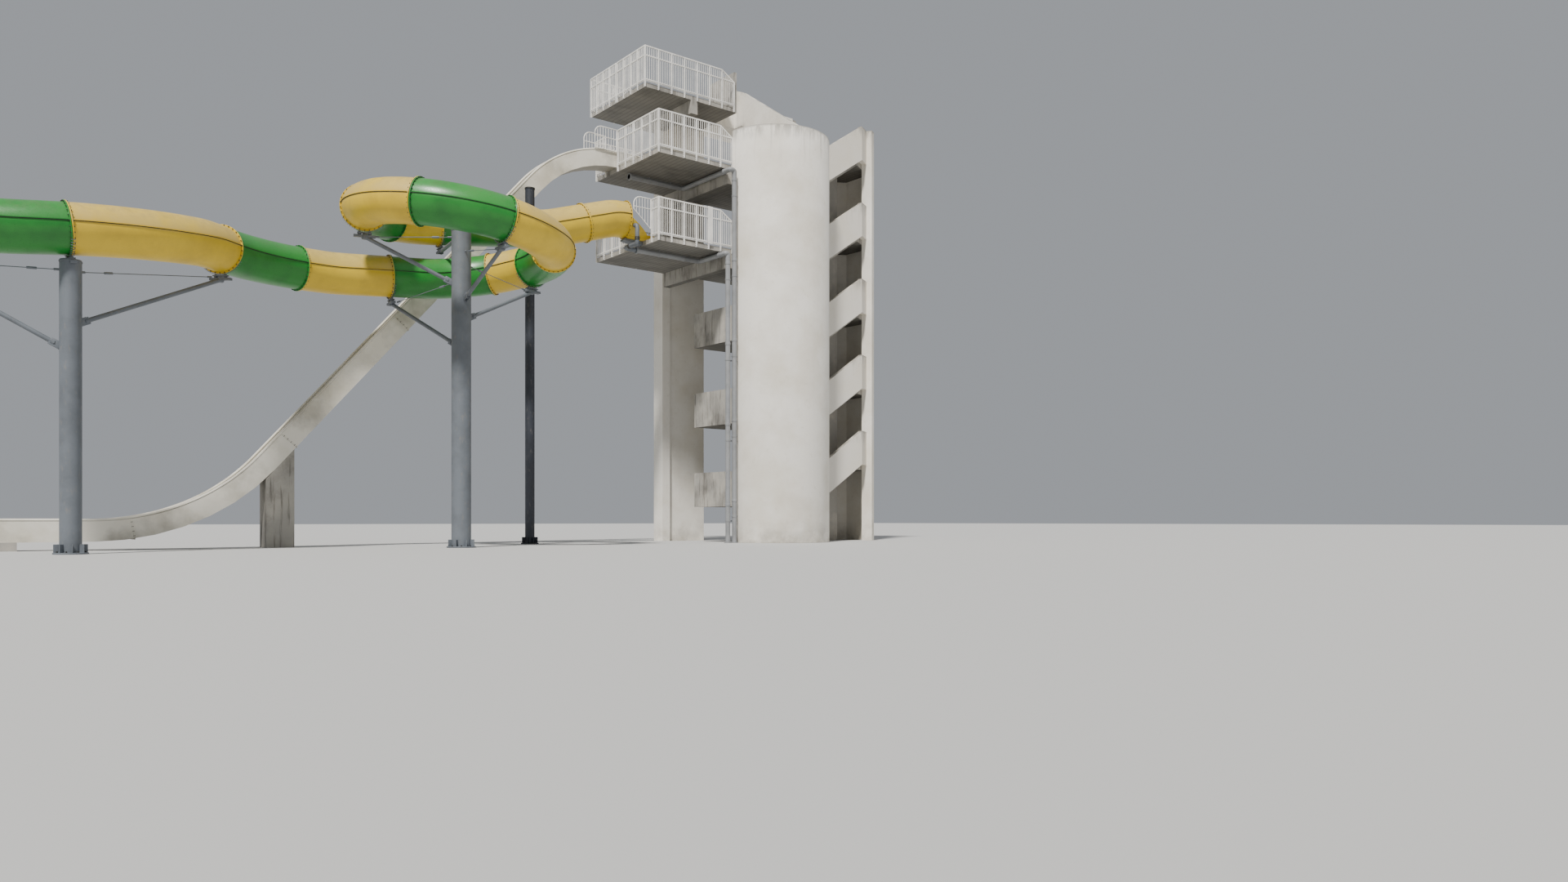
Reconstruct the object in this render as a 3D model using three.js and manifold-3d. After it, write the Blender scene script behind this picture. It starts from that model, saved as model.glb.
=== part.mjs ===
// Water slide tower: a concrete stair tower with three cantilevered start platforms, a tube slide
// that loops once around a steel column, and a steep open drop slide.
// Millimetres, +Z up. X runs along the stair flights, Y runs away from the round wall's bulge,
// and z = 0 is the ground. Dimensions are set out from the near left corner of the two lower
// platforms, and at the end the whole is moved so that the origin is the centre of its footprint.
import * as THREE from 'three';
import { mergeVertices } from 'three/addons/utils/BufferGeometryUtils.js';
import Module from 'manifold-3d';

const wasm = await Module();
wasm.setup();

// Driving dimensions
const GAP = 0.3;
const RISER = 170;
const GOING = 255;
const RISERS = 9;
const FLIGHT_RISE = RISER * RISERS;
const FLIGHT_RUN = GOING * RISERS;
const RAKE = RISER / GOING;
const LEVELS = [7, 9, 11].map((flights) => flights * FLIGHT_RISE);
const SLAB = 160;
const WALL = 200;
const GUARD = 1350;

const PLATFORM = { x0: 0, x1: 7200, y0: 0, y1: 4300 };
const TOP_PLATFORM = { x0: 690, x1: 4840, y0: 2010, y1: 5960 };
const BEAM = { x0: 2950, x1: 3250, depth: 530 };
const TOP_BEAM = { x0: 2700, x1: 3000, depth: 500 };
const PIER = { x0: 2900, x1: 3250, y0: 4300, y1: 4930 };
const PIER_WALL = { x1: 4980, y0: 4450, y1: 4650 };
const ROUND = { x: 5180, y: 0, outer: 2020, top: LEVELS[1] + 1280, step: 9 };

const STAIR = { x0: 7200, front: 150, rear: 2750, width: 1200 };
const STAIR_END = STAIR.x0 + FLIGHT_RUN;
const WAIST = 180;
const LANDING = 200;
const SEAM = 5;
const HEX = { x: 9580, y: 1450, radius: 1500 };
const WALL_TOP = 10 * FLIGHT_RISE + GUARD;
const SPINE_TOP = 10 * FLIGHT_RISE + 850;
const FIN = { thick: 300, out: 230, along: 750 };

const RAIL = { post: 50, bar: 40, mid: 985, low: 110, pitch: 550 };

const TUBE = { radius: 635, wall: 30, flange: 705, lip: 40, sides: 12, steps: 4, seat: 0.8 };
const TUBE_START = { x: -300, y: 1200, heading: 174 };
const TUBE_LEGS = [
  { length: 6900, turn: 0 },
  { radius: 2700, turn: 360 },
  { length: 2500, turn: 0 },
  { radius: 5000, turn: 52 },
  { radius: 5500, turn: -74 },
  { length: 900, turn: 0 },
];
// Height of the tube's axis above the ground, by distance run
const TUBE_FALL = [
  [-1500, 11390], [800, 11390], [3200, 10660], [7400, 10190], [12200, 9720], [17200, 9110],
  [21300, 8890], [24000, 8510], [27000, 8320], [31500, 8240], [36000, 7700], [40000, 7480],
];
const TUBE_JOINTS = [330, 1890, 3670, 6850, 8550, 10700, 13480, 15830, 18730, 20620, 22120,
  25310, 28030, 30750, 34980, 38200];

const DROP = {
  y0: 2830, y1: 3560, floor: 120, wall: 60, height: 500, crest: 4100, angle: 49,
  dip: 6000, low: 350, runOut: 4000, head: 1200, joint: 7000,
};
const PIPE = { y: -350, radius: 90, drop: 130 };
const PIPES = [{ x: 2700, back: 2600, turn: 1300, end: -150 }, { x: 2990, back: 2800, turn: 2680, end: 400 }];

// Finishes
const finish = (color, roughness, metalness = 0) =>
  new THREE.MeshStandardMaterial({ color, roughness, metalness });
const RENDER_COAT = finish(0xe6e2d8, 0.85);
const BARE_CONCRETE = finish(0x9a9488, 0.92);
const WHITE_PAINT = finish(0xeceae4, 0.5, 0.1);
const DROP_COAT = finish(0xdedbcf, 0.55);
const YELLOW = finish(0xd8b743, 0.4);
const GREEN = finish(0x2f9136, 0.35);
const GREY_STEEL = finish(0x6f747b, 0.5, 0.5);

// Geometry helpers
const BODY = new THREE.Group();
BODY.name = 'water_slide_tower';

function part(name, geometry, material) {
  const mesh = new THREE.Mesh(geometry, material);
  mesh.name = name;
  BODY.add(mesh);
}

function solid(geometry) {
  const bare = geometry.clone();
  bare.deleteAttribute('normal');
  bare.deleteAttribute('uv');
  const joined = mergeVertices(bare, 1e-3);
  const vertProperties = Float32Array.from(joined.attributes.position.array);
  const triVerts = Uint32Array.from(joined.index.array);
  return new wasm.Manifold(new wasm.Mesh({ numProp: 3, vertProperties, triVerts }));
}

function geometryOf(manifold) {
  const mesh = manifold.getMesh();
  const geometry = new THREE.BufferGeometry();
  geometry.setAttribute('position', new THREE.BufferAttribute(mesh.vertProperties, 3));
  geometry.setIndex(new THREE.BufferAttribute(mesh.triVerts, 1));
  geometry.computeVertexNormals();
  return geometry;
}

function cut(geometry, tool) {
  return geometryOf(solid(geometry).subtract(solid(tool)));
}

function fuse(...geometries) {
  return geometryOf(geometries.map(solid).reduce((whole, next) => whole.add(next)));
}

function outline(points) {
  return new THREE.Shape(points.map(([x, y]) => new THREE.Vector2(x, y)));
}

// A plan outline raised from z0 to z1
function upright(points, z0, z1) {
  const options = { depth: z1 - z0, bevelEnabled: false };
  return new THREE.ExtrudeGeometry(outline(points), options).translate(0, 0, z0);
}

// An outline in x and z, drawn out from y0 to y1
function sideways(points, y0, y1) {
  const options = { depth: y1 - y0, bevelEnabled: false };
  return new THREE.ExtrudeGeometry(outline(points), options).rotateX(Math.PI / 2).translate(0, y1, 0);
}

// An outline in y and z, drawn out from x0 to x1
function endways(points, x0, x1) {
  const turn = new THREE.Matrix4().makeBasis(
    new THREE.Vector3(0, 1, 0), new THREE.Vector3(0, 0, 1), new THREE.Vector3(1, 0, 0));
  const options = { depth: x1 - x0, bevelEnabled: false };
  return new THREE.ExtrudeGeometry(outline(points), options).applyMatrix4(turn).translate(x0, 0, 0);
}

function block(x0, x1, y0, y1, z0, z1) {
  return new THREE.BoxGeometry(x1 - x0, y1 - y0, z1 - z0)
    .translate((x0 + x1) / 2, (y0 + y1) / 2, (z0 + z1) / 2);
}

// A square bar between two points
function bar(from, to, size) {
  const a = new THREE.Vector3(...from);
  const b = new THREE.Vector3(...to);
  const along = b.clone().sub(a);
  const level = new THREE.Vector3(-along.y, along.x, 0);
  const side = level.lengthSq() > 1e-6 ? level.normalize() : new THREE.Vector3(0, 1, 0);
  const length = along.length();
  along.normalize();
  const up = along.clone().cross(side);
  const place = new THREE.Matrix4().makeBasis(along, side, up)
    .setPosition(a.add(b).multiplyScalar(0.5));
  return new THREE.BoxGeometry(length, size, size).applyMatrix4(place);
}

// A round rod between two points
function rod(from, to, radius, sides = 8) {
  const a = new THREE.Vector3(...from);
  const b = new THREE.Vector3(...to);
  const along = b.clone().sub(a);
  const turn = new THREE.Quaternion().setFromUnitVectors(
    new THREE.Vector3(0, 1, 0), along.clone().normalize());
  const middle = a.add(b).multiplyScalar(0.5);
  return new THREE.CylinderGeometry(radius, radius, along.length(), sides)
    .applyQuaternion(turn).translate(middle.x, middle.y, middle.z);
}

function arc(cx, cy, radius, from, to, step) {
  const count = Math.round(Math.abs(to - from) / step);
  return Array.from({ length: count + 1 }, (_, i) => {
    const angle = THREE.MathUtils.degToRad(from + (to - from) * i / count);
    return [cx + radius * Math.cos(angle), cy + radius * Math.sin(angle)];
  });
}

// Round wall: a half cylinder in four quarters, open towards the platforms
const ROUND_INNER = ROUND.outer - WALL;

function roundWall() {
  const span = 45;
  const slit = THREE.MathUtils.radToDeg(GAP / ROUND.outer);
  for (let i = 0; i < 4; i++) {
    const from = 180 + span * i + slit;
    const to = 180 + span * (i + 1) - slit;
    const outer = arc(ROUND.x, ROUND.y - GAP, ROUND.outer, from, to, ROUND.step);
    const inner = arc(ROUND.x, ROUND.y - GAP, ROUND_INNER, to, from, ROUND.step);
    part(`round_wall_${i + 1}`, upright([...outer, ...inner], 0, ROUND.top), RENDER_COAT);
  }
}

// Floor outline that fills the round wall and the core behind it
function coreOutline(x0, y1) {
  const bowl = arc(ROUND.x, ROUND.y - GAP, ROUND_INNER - GAP, 180, 360, ROUND.step);
  return [[x0, 0], [ROUND.x - ROUND_INNER + GAP, 0], ...bowl,
    [ROUND.x + ROUND_INNER - GAP, 0], [PLATFORM.x1, 0], [PLATFORM.x1, y1], [x0, y1]];
}

function platforms() {
  LEVELS.slice(0, 2).forEach((level, i) => {
    const slab = upright(coreOutline(PLATFORM.x0, PLATFORM.y1 - GAP), level - SLAB, level);
    const beam = block(BEAM.x0, BEAM.x1, PLATFORM.y0, PLATFORM.y1 - GAP,
      level - SLAB - BEAM.depth, level - SLAB + 1);
    part(`platform_${i + 1}`, fuse(slab, beam), BARE_CONCRETE);
  });
}

const UPPER_LANDING = { y0: 3430, y1: 4930, wallX: 5790 };

function topPlatform() {
  const { x0, x1, y0, y1 } = TOP_PLATFORM;
  const level = LEVELS[2];
  const slab = block(x0, x1, y0, y1, level - SLAB, level);
  const beam = block(TOP_BEAM.x0, TOP_BEAM.x1, y0, PIER.y0 - GAP,
    level - SLAB - TOP_BEAM.depth, level - SLAB + 1);
  const panel = block(x1 - 120, x1, y0, UPPER_LANDING.y0 + WALL, level - 1, level + GUARD + 50);
  part('platform_3', fuse(slab, beam, panel), BARE_CONCRETE);
}

function rearPier() {
  const top = LEVELS[2] - SLAB - GAP;
  const plan = [[PIER.x0, PIER.y0], [PIER.x1, PIER.y0], [PIER.x1, PIER_WALL.y0],
    [PIER_WALL.x1, PIER_WALL.y0], [PIER_WALL.x1, PIER_WALL.y1], [PIER.x1, PIER_WALL.y1],
    [PIER.x1, PIER.y1], [PIER.x0, PIER.y1]];
  part('rear_pier', upright(plan, 0, top), RENDER_COAT);
}

// Landing between the top platform and the last flight, with its solid guards
function upperLanding() {
  const level = LEVELS[2];
  const { y0, y1, wallX } = UPPER_LANDING;
  const x0 = TOP_PLATFORM.x1 + GAP;
  const x1 = PLATFORM.x1;
  const inner = wallX + WALL + GAP;
  const plan = [[x0, y0], [inner, y0], [inner, 1450], [x1, 1450], [x1, y1], [x0, y1]];
  const slab = upright(plan, level - SLAB, level);
  const front = block(x0, wallX + WALL, y0, y0 + WALL, level - 1, level + GUARD + 20);
  const rear = block(x0, x1, y1 - 150, y1, level - 1, level + 1100);
  const side = block(x1 - 150, x1, STAIR.rear + WALL, y1, level - 1, level + 800);
  part('upper_landing', fuse(slab, front, rear, side), RENDER_COAT);
}

// Guard wall that falls with the stair's rake from the upper landing into the round wall
function rakingWall() {
  const level = LEVELS[2];
  const x0 = UPPER_LANDING.wallX;
  const high = UPPER_LANDING.y0 - GAP;
  const low = -1620;
  const turn = 2900;
  const turnTop = level + 1150;
  const topAt = (y) => turnTop - (turn - y) * RAKE;
  const foot = LEVELS[1] + GAP;
  const footY = turn - (turnTop - GUARD - foot) / RAKE;
  const headY = turn - (turnTop - GUARD - (level - SLAB)) / RAKE;
  const profile = [[low, foot], [footY, foot], [headY, level - SLAB], [high, level - SLAB],
    [high, level + GUARD + 20], [turn, turnTop], [low, topAt(low)]];
  part('raking_wall', endways(profile, x0, x0 + WALL), RENDER_COAT);
}

// A flight's stepped profile in x and z; direction is +1 when it rises towards +X
function flightProfile(z0, direction) {
  const low = direction > 0 ? STAIR.x0 : STAIR_END;
  const points = [[low - direction * SEAM, z0]];
  for (let i = 0; i < RISERS; i++) {
    const x = low + direction * GOING * i;
    points.push([x, z0 + RISER * i], [x, z0 + RISER * (i + 1)]);
  }
  const end = low + direction * (FLIGHT_RUN - GAP);
  points.push([end, z0 + FLIGHT_RISE], [end, z0 + FLIGHT_RISE - WAIST]);
  points.push([low - direction * SEAM, z0 - WAIST]);
  return direction > 0 ? points.reverse() : points;
}

const FRONT_STRIP = [STAIR.front + GAP, STAIR.front + STAIR.width - GAP];
const REAR_STRIP = [STAIR.rear - STAIR.width + GAP, STAIR.rear - GAP];

// The end landing's plan: half a hexagon inside the walls
function endLandingPlan() {
  const inset = WALL + GAP;
  const apothem = HEX.radius * Math.cos(Math.PI / 6) - inset;
  const corner = apothem / Math.cos(Math.PI / 6);
  const half = HEX.y - STAIR.front - GAP;
  const meet = HEX.x + (apothem - half * Math.cos(Math.PI / 6)) * 2;
  const reach = HEX.x + apothem;
  return [[STAIR_END - SEAM, HEX.y - half], [meet, HEX.y - half], [reach, HEX.y - corner / 2],
    [reach, HEX.y + corner / 2], [meet, HEX.y + half], [STAIR_END - SEAM, HEX.y + half]];
}

function stairs() {
  const first = [[STAIR.x0 + GAP, 0], [STAIR_END, 0]];
  for (let i = 0; i < RISERS; i++) {
    const x = STAIR_END - GOING * i;
    first.push([x, RISER * (i + 1)], [i < RISERS - 1 ? x - GOING : STAIR.x0 + GAP, RISER * (i + 1)]);
  }
  part('first_flight', sideways(first, ...REAR_STRIP), BARE_CONCRETE);
  for (let k = 1; k <= 5; k++) {
    const start = FLIGHT_RISE * (2 * k - 1);
    const level = start + FLIGHT_RISE;
    const up = flightProfile(start, 1).map(([x, z]) => [Math.max(x, STAIR.x0 + GAP), z]);
    const on = flightProfile(level, -1).map(([x, z]) => [Math.max(x, STAIR.x0 + GAP), z]);
    const trimmedUp = up.filter(([x, z], i) => i === 0 || x !== up[i - 1][0] || z !== up[i - 1][1]);
    const landing = upright(endLandingPlan(), level - LANDING, level);
    part(`stair_turn_${k}`, fuse(sideways(trimmedUp, ...FRONT_STRIP), landing,
      sideways(on, ...REAR_STRIP)), BARE_CONCRETE);
  }
}

function lowerLandings() {
  const back = STAIR.rear;
  const guard = 150;
  const x0 = ROUND.x - ROUND_INNER + GAP;
  for (let k = 1; k <= 3; k++) {
    const level = FLIGHT_RISE * (2 * k - 1);
    const bowl = arc(ROUND.x, ROUND.y - GAP, ROUND_INNER - GAP, 180, 360, ROUND.step);
    const plan = [...bowl, [ROUND.x + ROUND_INNER - GAP, 0], [PLATFORM.x1, 0],
      [PLATFORM.x1, back], [x0, back]];
    const slab = upright(plan, level - LANDING, level);
    const rear = block(x0, PLATFORM.x1, back - guard, back, level - 1, level + 1100);
    const side = block(x0, x0 + guard, 0, back, level - 1, level + 1100);
    part(`lower_landing_${k}`, fuse(slab, rear, side), BARE_CONCRETE);
  }
}

// Points on the half hexagon's first side: distance along it, and distance out from its face
function onFirstSide(along, out) {
  const x = HEX.x + along * Math.cos(Math.PI / 6) + out * 0.5;
  const y = HEX.y - HEX.radius + along * 0.5 - out * Math.cos(Math.PI / 6);
  return [x, y];
}

function parapets() {
  const face = HEX.y - HEX.radius;
  const back = STAIR.front;
  const reach = FIN.along - FIN.thick / 2 - GAP;
  const mitre = [HEX.x - WALL * Math.tan(Math.PI / 12), back];
  for (let k = 1; k <= 5; k++) {
    const level = 2 * k * FLIGHT_RISE;
    const fall = (HEX.x - STAIR.x0) * RAKE;
    const x0 = STAIR.x0 + GAP;
    const rake = [[x0, level - fall], [HEX.x, level], [HEX.x, level + GUARD],
      [x0, level + GUARD - fall]];
    const bend = [[HEX.x, face], onFirstSide(reach, 0), onFirstSide(reach, -WALL), mitre];
    part(`stair_parapet_${k}`, fuse(sideways(rake, face, back),
      upright(bend, level, level + GUARD)), RENDER_COAT);
  }
}

function stairWalls() {
  const half = FIN.thick / 2;
  const fin = [onFirstSide(FIN.along - half, -WALL + GAP), onFirstSide(FIN.along - half, FIN.out),
    onFirstSide(FIN.along + half, FIN.out), onFirstSide(FIN.along + half, -WALL + GAP)];
  part('stair_fin', upright(fin, 0, WALL_TOP), RENDER_COAT);
  part('spine_wall', block(STAIR.x0 + GAP, STAIR_END - SEAM - GAP, STAIR.front + STAIR.width,
    STAIR.rear - STAIR.width, 0, SPINE_TOP), RENDER_COAT);

  const apothem = HEX.radius * Math.cos(Math.PI / 6);
  const inner = (apothem - WALL) / Math.cos(Math.PI / 6);
  const rear = HEX.y + HEX.radius;
  const end = [onFirstSide(FIN.along + half + GAP, 0), [HEX.x + apothem, HEX.y - HEX.radius / 2],
    [HEX.x + apothem, HEX.y + HEX.radius / 2], [HEX.x, rear],
    [HEX.x - WALL * Math.tan(Math.PI / 12), rear - WALL],
    [HEX.x + apothem - WALL, HEX.y + inner / 2], [HEX.x + apothem - WALL, HEX.y - inner / 2],
    onFirstSide(FIN.along + half + GAP, -WALL)];
  part('stair_end_wall', upright(end, 0, WALL_TOP), RENDER_COAT);

  const shift = WALL * Math.tan(Math.PI / 12) + GAP;
  const high = LEVELS[2] + 600;
  const turn = STAIR.x0 + (high - WALL_TOP) / RAKE;
  const profile = [[STAIR.x0 + GAP, 0], [HEX.x - shift, 0], [HEX.x - shift, WALL_TOP],
    [turn, WALL_TOP], [STAIR.x0 + GAP, high]];
  part('stair_rear_wall', sideways(profile, STAIR.rear, rear), RENDER_COAT);
}

// Railings: posts down the slab's edge, with three rails
function railingLeg(from, to, level, drop) {
  const length = Math.hypot(to[0] - from[0], to[1] - from[1]);
  const bays = Math.max(1, Math.round(length / RAIL.pitch));
  const at = (t, z) => [from[0] + (to[0] - from[0]) * t, from[1] + (to[1] - from[1]) * t, z];
  const top = level + GUARD - RAIL.bar / 2;
  const last = 1 - 1 / bays;
  const pieces = [];
  for (let i = 0; i <= bays; i++) {
    const lowered = drop && i === bays;
    pieces.push(bar(at(i / bays, level - SLAB), at(i / bays, lowered ? level + RAIL.mid : top), RAIL.post));
  }
  pieces.push(bar(at(0, top), at(drop ? last : 1, top), RAIL.bar));
  pieces.push(bar(at(0, level + RAIL.mid), at(1, level + RAIL.mid), RAIL.bar));
  pieces.push(bar(at(0, level + RAIL.low), at(1, level + RAIL.low), RAIL.bar));
  if (drop) pieces.push(bar(at(last, top), at(1, level + RAIL.mid), RAIL.bar));
  return pieces;
}

function railing(name, level, legs) {
  const pieces = legs.flatMap(([from, to, drop]) => railingLeg(from, to, level, drop));
  part(name, fuse(...pieces), WHITE_PAINT);
}

function railings() {
  const off = RAIL.post / 2 + GAP;
  const left = PLATFORM.x0 - off;
  const front = PLATFORM.y0 - off;
  const rear = PLATFORM.y1 + off - GAP;
  const wallEnd = ROUND.x - ROUND.outer - RAIL.post / 2 - 5;
  const pierEnd = PIER.x0 - RAIL.post / 2 - 5;
  const openings = [[430, 2010], [2750, 3640]];
  openings.forEach(([open, shut], i) => {
    railing(`railing_${i + 1}_front`, LEVELS[i],
      [[[left, open], [left, front], false], [[left, front], [wallEnd, front], true]]);
    railing(`railing_${i + 1}_rear`, LEVELS[i],
      [[[left, shut], [left, rear], false], [[left, rear], [pierEnd, rear], false]]);
  });
  const topFront = TOP_PLATFORM.y0 - off;
  const topLeft = TOP_PLATFORM.x0 - off;
  const topRear = TOP_PLATFORM.y1 + off;
  const middle = (TOP_PLATFORM.y0 + TOP_PLATFORM.y1) / 2;
  railing('railing_3_front', LEVELS[2], [[[topLeft, middle], [topLeft, topFront], false],
    [[topLeft, topFront], [TOP_PLATFORM.x1 - 150, topFront], true]]);
  railing('railing_3_rear', LEVELS[2], [[[topLeft, middle + 60], [topLeft, topRear], false],
    [[topLeft, topRear], [TOP_PLATFORM.x1 - 30, topRear], false]]);
}

// Tube slide path
function tubePlan(distance) {
  let heading = THREE.MathUtils.degToRad(TUBE_START.heading);
  let { x, y } = TUBE_START;
  if (distance < 0) return { x: x + distance * Math.cos(heading), y: y + distance * Math.sin(heading) };
  let left = distance;
  for (const leg of TUBE_LEGS) {
    const turn = THREE.MathUtils.degToRad(leg.turn);
    const length = leg.length ?? leg.radius * Math.abs(turn);
    const run = Math.min(left, length);
    if (leg.length) {
      x += run * Math.cos(heading);
      y += run * Math.sin(heading);
    } else {
      const side = Math.sign(turn);
      const swept = heading + side * run / leg.radius;
      x += side * leg.radius * (Math.sin(swept) - Math.sin(heading));
      y -= side * leg.radius * (Math.cos(swept) - Math.cos(heading));
      heading = swept;
    }
    left -= run;
    if (left <= 0) break;
  }
  return { x: x + left * Math.cos(heading), y: y + left * Math.sin(heading) };
}

function fallAt(distance) {
  const i = TUBE_FALL.findIndex(([at]) => at > distance);
  const [a, za] = TUBE_FALL[i - 1];
  const [b, zb] = TUBE_FALL[i];
  return za + (zb - za) * (distance - a) / (b - a);
}

// The fall with its corners rounded, as the mean over a short reach
function tubeHeight(distance) {
  const around = [-200, -100, 0, 100, 200].map((step) => fallAt(distance + step));
  return around.reduce((sum, z) => sum + z, 0) / around.length;
}

function tubePoint(distance) {
  const { x, y } = tubePlan(distance);
  return new THREE.Vector3(x, y, tubeHeight(distance));
}

// Axis point with the along, side and up directions there
function tubeFrame(distance) {
  const reach = 100;
  const along = tubePoint(distance + reach).sub(tubePoint(distance - reach)).normalize();
  const side = new THREE.Vector3(along.y, -along.x, 0).normalize();
  const up = side.clone().cross(along);
  return { point: tubePoint(distance), along, side, up };
}

function onTube(distance, across, above) {
  const { point, side, up } = tubeFrame(distance);
  return point.addScaledVector(side, across).addScaledVector(up, above);
}

// A straight lathe-turned tube with end flanges, bent along the path
function tubeSection(start, end) {
  const { radius, wall, flange, lip, sides, steps } = TUBE;
  const length = end - start;
  const inner = radius - wall;
  const stations = Array.from({ length: steps + 1 }, (_, i) => lip + (length - 2 * lip) * i / steps);
  const profile = [[inner, 0], [flange, 0], [flange, lip], ...stations.map((s) => [radius, s]),
    [flange, length - lip], [flange, length], [inner, length],
    ...stations.slice().reverse().map((s) => [inner, s]), [inner, 0]];
  const points = profile.map(([r, s]) => new THREE.Vector2(r, s));
  const geometry = new THREE.LatheGeometry(points, sides, Math.PI / sides);
  const position = geometry.attributes.position;
  for (let i = 0; i < position.count; i++) {
    const place = onTube(start + position.getY(i), position.getX(i), position.getZ(i));
    position.setXYZ(i, place.x, place.y, place.z);
  }
  return geometryOf(solid(geometry));
}

function tubeSlide() {
  const colours = [YELLOW, YELLOW, GREEN];
  for (let i = 0; i < TUBE_JOINTS.length - 1; i++) {
    const colour = colours[i] ?? (i % 2 ? YELLOW : GREEN);
    part(`tube_${i + 1}`, tubeSection(TUBE_JOINTS[i], TUBE_JOINTS[i + 1] - GAP), colour);
  }
}

// Open tub where riders sit down, standing on the lower platform; its sides slope down to a tray
function startTub() {
  const { radius, wall } = TUBE;
  const length = 1400;
  const rim = 60;
  const tray = { at: 700, mouth: -40, rim: -520 };
  const half = 250;
  const foot = LEVELS[0] + GAP - tubeHeight(0);
  const knee = THREE.MathUtils.radToDeg(Math.acos(half / radius));
  const points = [[-radius, rim], ...arc(0, 0, radius, 180, 180 + knee, 12), [-half, foot], [half, foot],
    ...arc(0, 0, radius, 360 - knee, 360, 12), [radius, rim], [radius - wall, rim],
    ...arc(0, 0, radius - wall, 360, 180, 18), [-radius + wall, rim]];
  const trough = new THREE.ExtrudeGeometry(outline(points), { depth: length, bevelEnabled: false });
  const spare = [[tray.mouth, -1], [tray.rim, tray.at], [tray.rim, length + 1],
    [rim + 1, length + 1], [rim + 1, -1]];
  const shape = cut(trough, endways(spare, -radius - 1, radius + 1));
  const { side, along } = tubeFrame(0);
  const back = along.clone().negate();
  const place = new THREE.Matrix4().makeBasis(side, new THREE.Vector3(0, 0, 1), back)
    .setPosition(onTube(TUBE_JOINTS[0] - GAP, 0, 0).setZ(tubeHeight(0)));
  const tub = shape.applyMatrix4(place);
  part('tube_start_tub', tub, YELLOW);
}

// A saddle under a joint's flanges
function saddle(distance) {
  const { along, side, up } = tubeFrame(distance);
  const flat = TUBE.flange * Math.cos(Math.PI / TUBE.sides);
  const thick = 60;
  const place = new THREE.Matrix4().makeBasis(along, side.clone().negate(), up)
    .setPosition(onTube(distance, 0, -flat - TUBE.seat - thick / 2));
  return new THREE.BoxGeometry(140, 340, thick).applyMatrix4(place);
}

function saddlePoint(distance) {
  return onTube(distance, 0, -TUBE.flange - 70).toArray();
}

function slideColumn(name, x, y, radius, top, arms) {
  const shaft = rod([x, y, 0], [x, y, top], radius, 12);
  const foot = rod([x, y, 0], [x, y, 40], radius + 150, 12);
  const pieces = arms.flatMap(([joint, z]) => [
    rod([x, y, z], saddlePoint(TUBE_JOINTS[joint]), 60), saddle(TUBE_JOINTS[joint])]);
  part(name, fuse(shaft, foot, ...pieces), GREY_STEEL);
}

function slideColumns() {
  const centre = tubePlan(TUBE_LEGS[0].length);
  const turn = THREE.MathUtils.degToRad(TUBE_START.heading + 90);
  const radius = TUBE_LEGS[1].radius;
  const loopX = centre.x + radius * Math.cos(turn);
  const loopY = centre.y + radius * Math.sin(turn);
  slideColumn('loop_column', loopX, loopY, 285, 9500,
    [[3, 9350], [5, 7900], [7, 7400], [9, 6900], [11, 6100]]);
  slideColumn('start_mast', -3640, 2500, 160, 12250, [[2, 9700]]);
  const head = onTube(TUBE_JOINTS[14], 0, -TUBE.flange - 10);
  slideColumn('run_column', head.x, head.y, 235, head.z, [[14, head.z - 200], [13, 5600], [15, 5000]]);
}

// Steel shelf on the lower platform's edge, under the tube's first flange
function startBracket() {
  const { point } = tubeFrame(TUBE_JOINTS[0]);
  const seat = point.z - TUBE.flange * Math.cos(Math.PI / TUBE.sides) - TUBE.seat;
  const profile = [[point.x - 90, seat - 60], [-GAP, LEVELS[0] - SLAB + 20], [-GAP, seat], [point.x - 90, seat]];
  part('tube_start_bracket', sideways(profile, point.y - 170, point.y + 170), GREY_STEEL);
}

// Water supply: a riser beside the round wall for each lower platform, with a run under its slab
function waterPipes() {
  PIPES.forEach(({ x, back, turn, end }, i) => {
    const { y, radius, drop } = PIPE;
    const z = LEVELS[i] - SLAB - drop;
    const flange = LEVELS[i] - SLAB - GAP;
    part(`water_pipe_${i + 1}`, fuse(
      rod([x, y, 0], [x, y, z + radius], radius, 10), rod([x, y, 0], [x, y, 30], radius + 50, 10),
      rod([x, y, z], [back - radius, y, z], radius, 10), rod([back, y, z], [back, turn + radius, z], radius, 10),
      rod([back, turn, z], [end, turn, z], radius, 10),
      block(end + 150, end + 210, turn - 30, turn + 30, z, flange)), GREY_STEEL);
  });
}

// Concrete blocks that carry the drop slide's lower length
function dropPiers() {
  const { y0, y1, floor, joint } = DROP;
  const { x, z, angle } = dropCurve(0).slope;
  const under = (at) => z - (at - x) * Math.tan(angle) - (floor + 2 * GAP) / Math.cos(angle);
  const slope = [[-12000, 0], [-11200, 0], [-11200, under(11200)], [-12000, under(12000)]];
  part('drop_slide_pier_1', sideways(slope, y0, y1), BARE_CONCRETE);
  part('drop_slide_pier_2', block(-18900, -18100, y0, y1, 0, DROP.low - floor - GAP), BARE_CONCRETE);
}

// Drop slide: floor curve in x and z, running towards -X
function dropCurve(offset) {
  const { crest, dip, angle, low } = DROP;
  const rise = THREE.MathUtils.degToRad(angle);
  const z0 = LEVELS[1] + DROP.floor + GAP;
  const straightX = crest * Math.sin(rise);
  const straightZ = z0 - crest * (1 - Math.cos(rise));
  const dipZ = low + dip * (1 - Math.cos(rise));
  const run = (straightZ - dipZ) / Math.tan(rise);
  const dipX = straightX + run + dip * Math.sin(rise);
  return {
    top: arc(0, z0 - crest, crest + offset, 90, 90 + angle, 7),
    bottom: arc(-dipX, low + dip, dip - offset, 270 + angle, 270, 7),
    end: [-dipX - DROP.runOut, low + offset],
    head: [DROP.head, z0 + offset],
    slope: { x: straightX, z: straightZ, angle: rise },
  };
}

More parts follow.
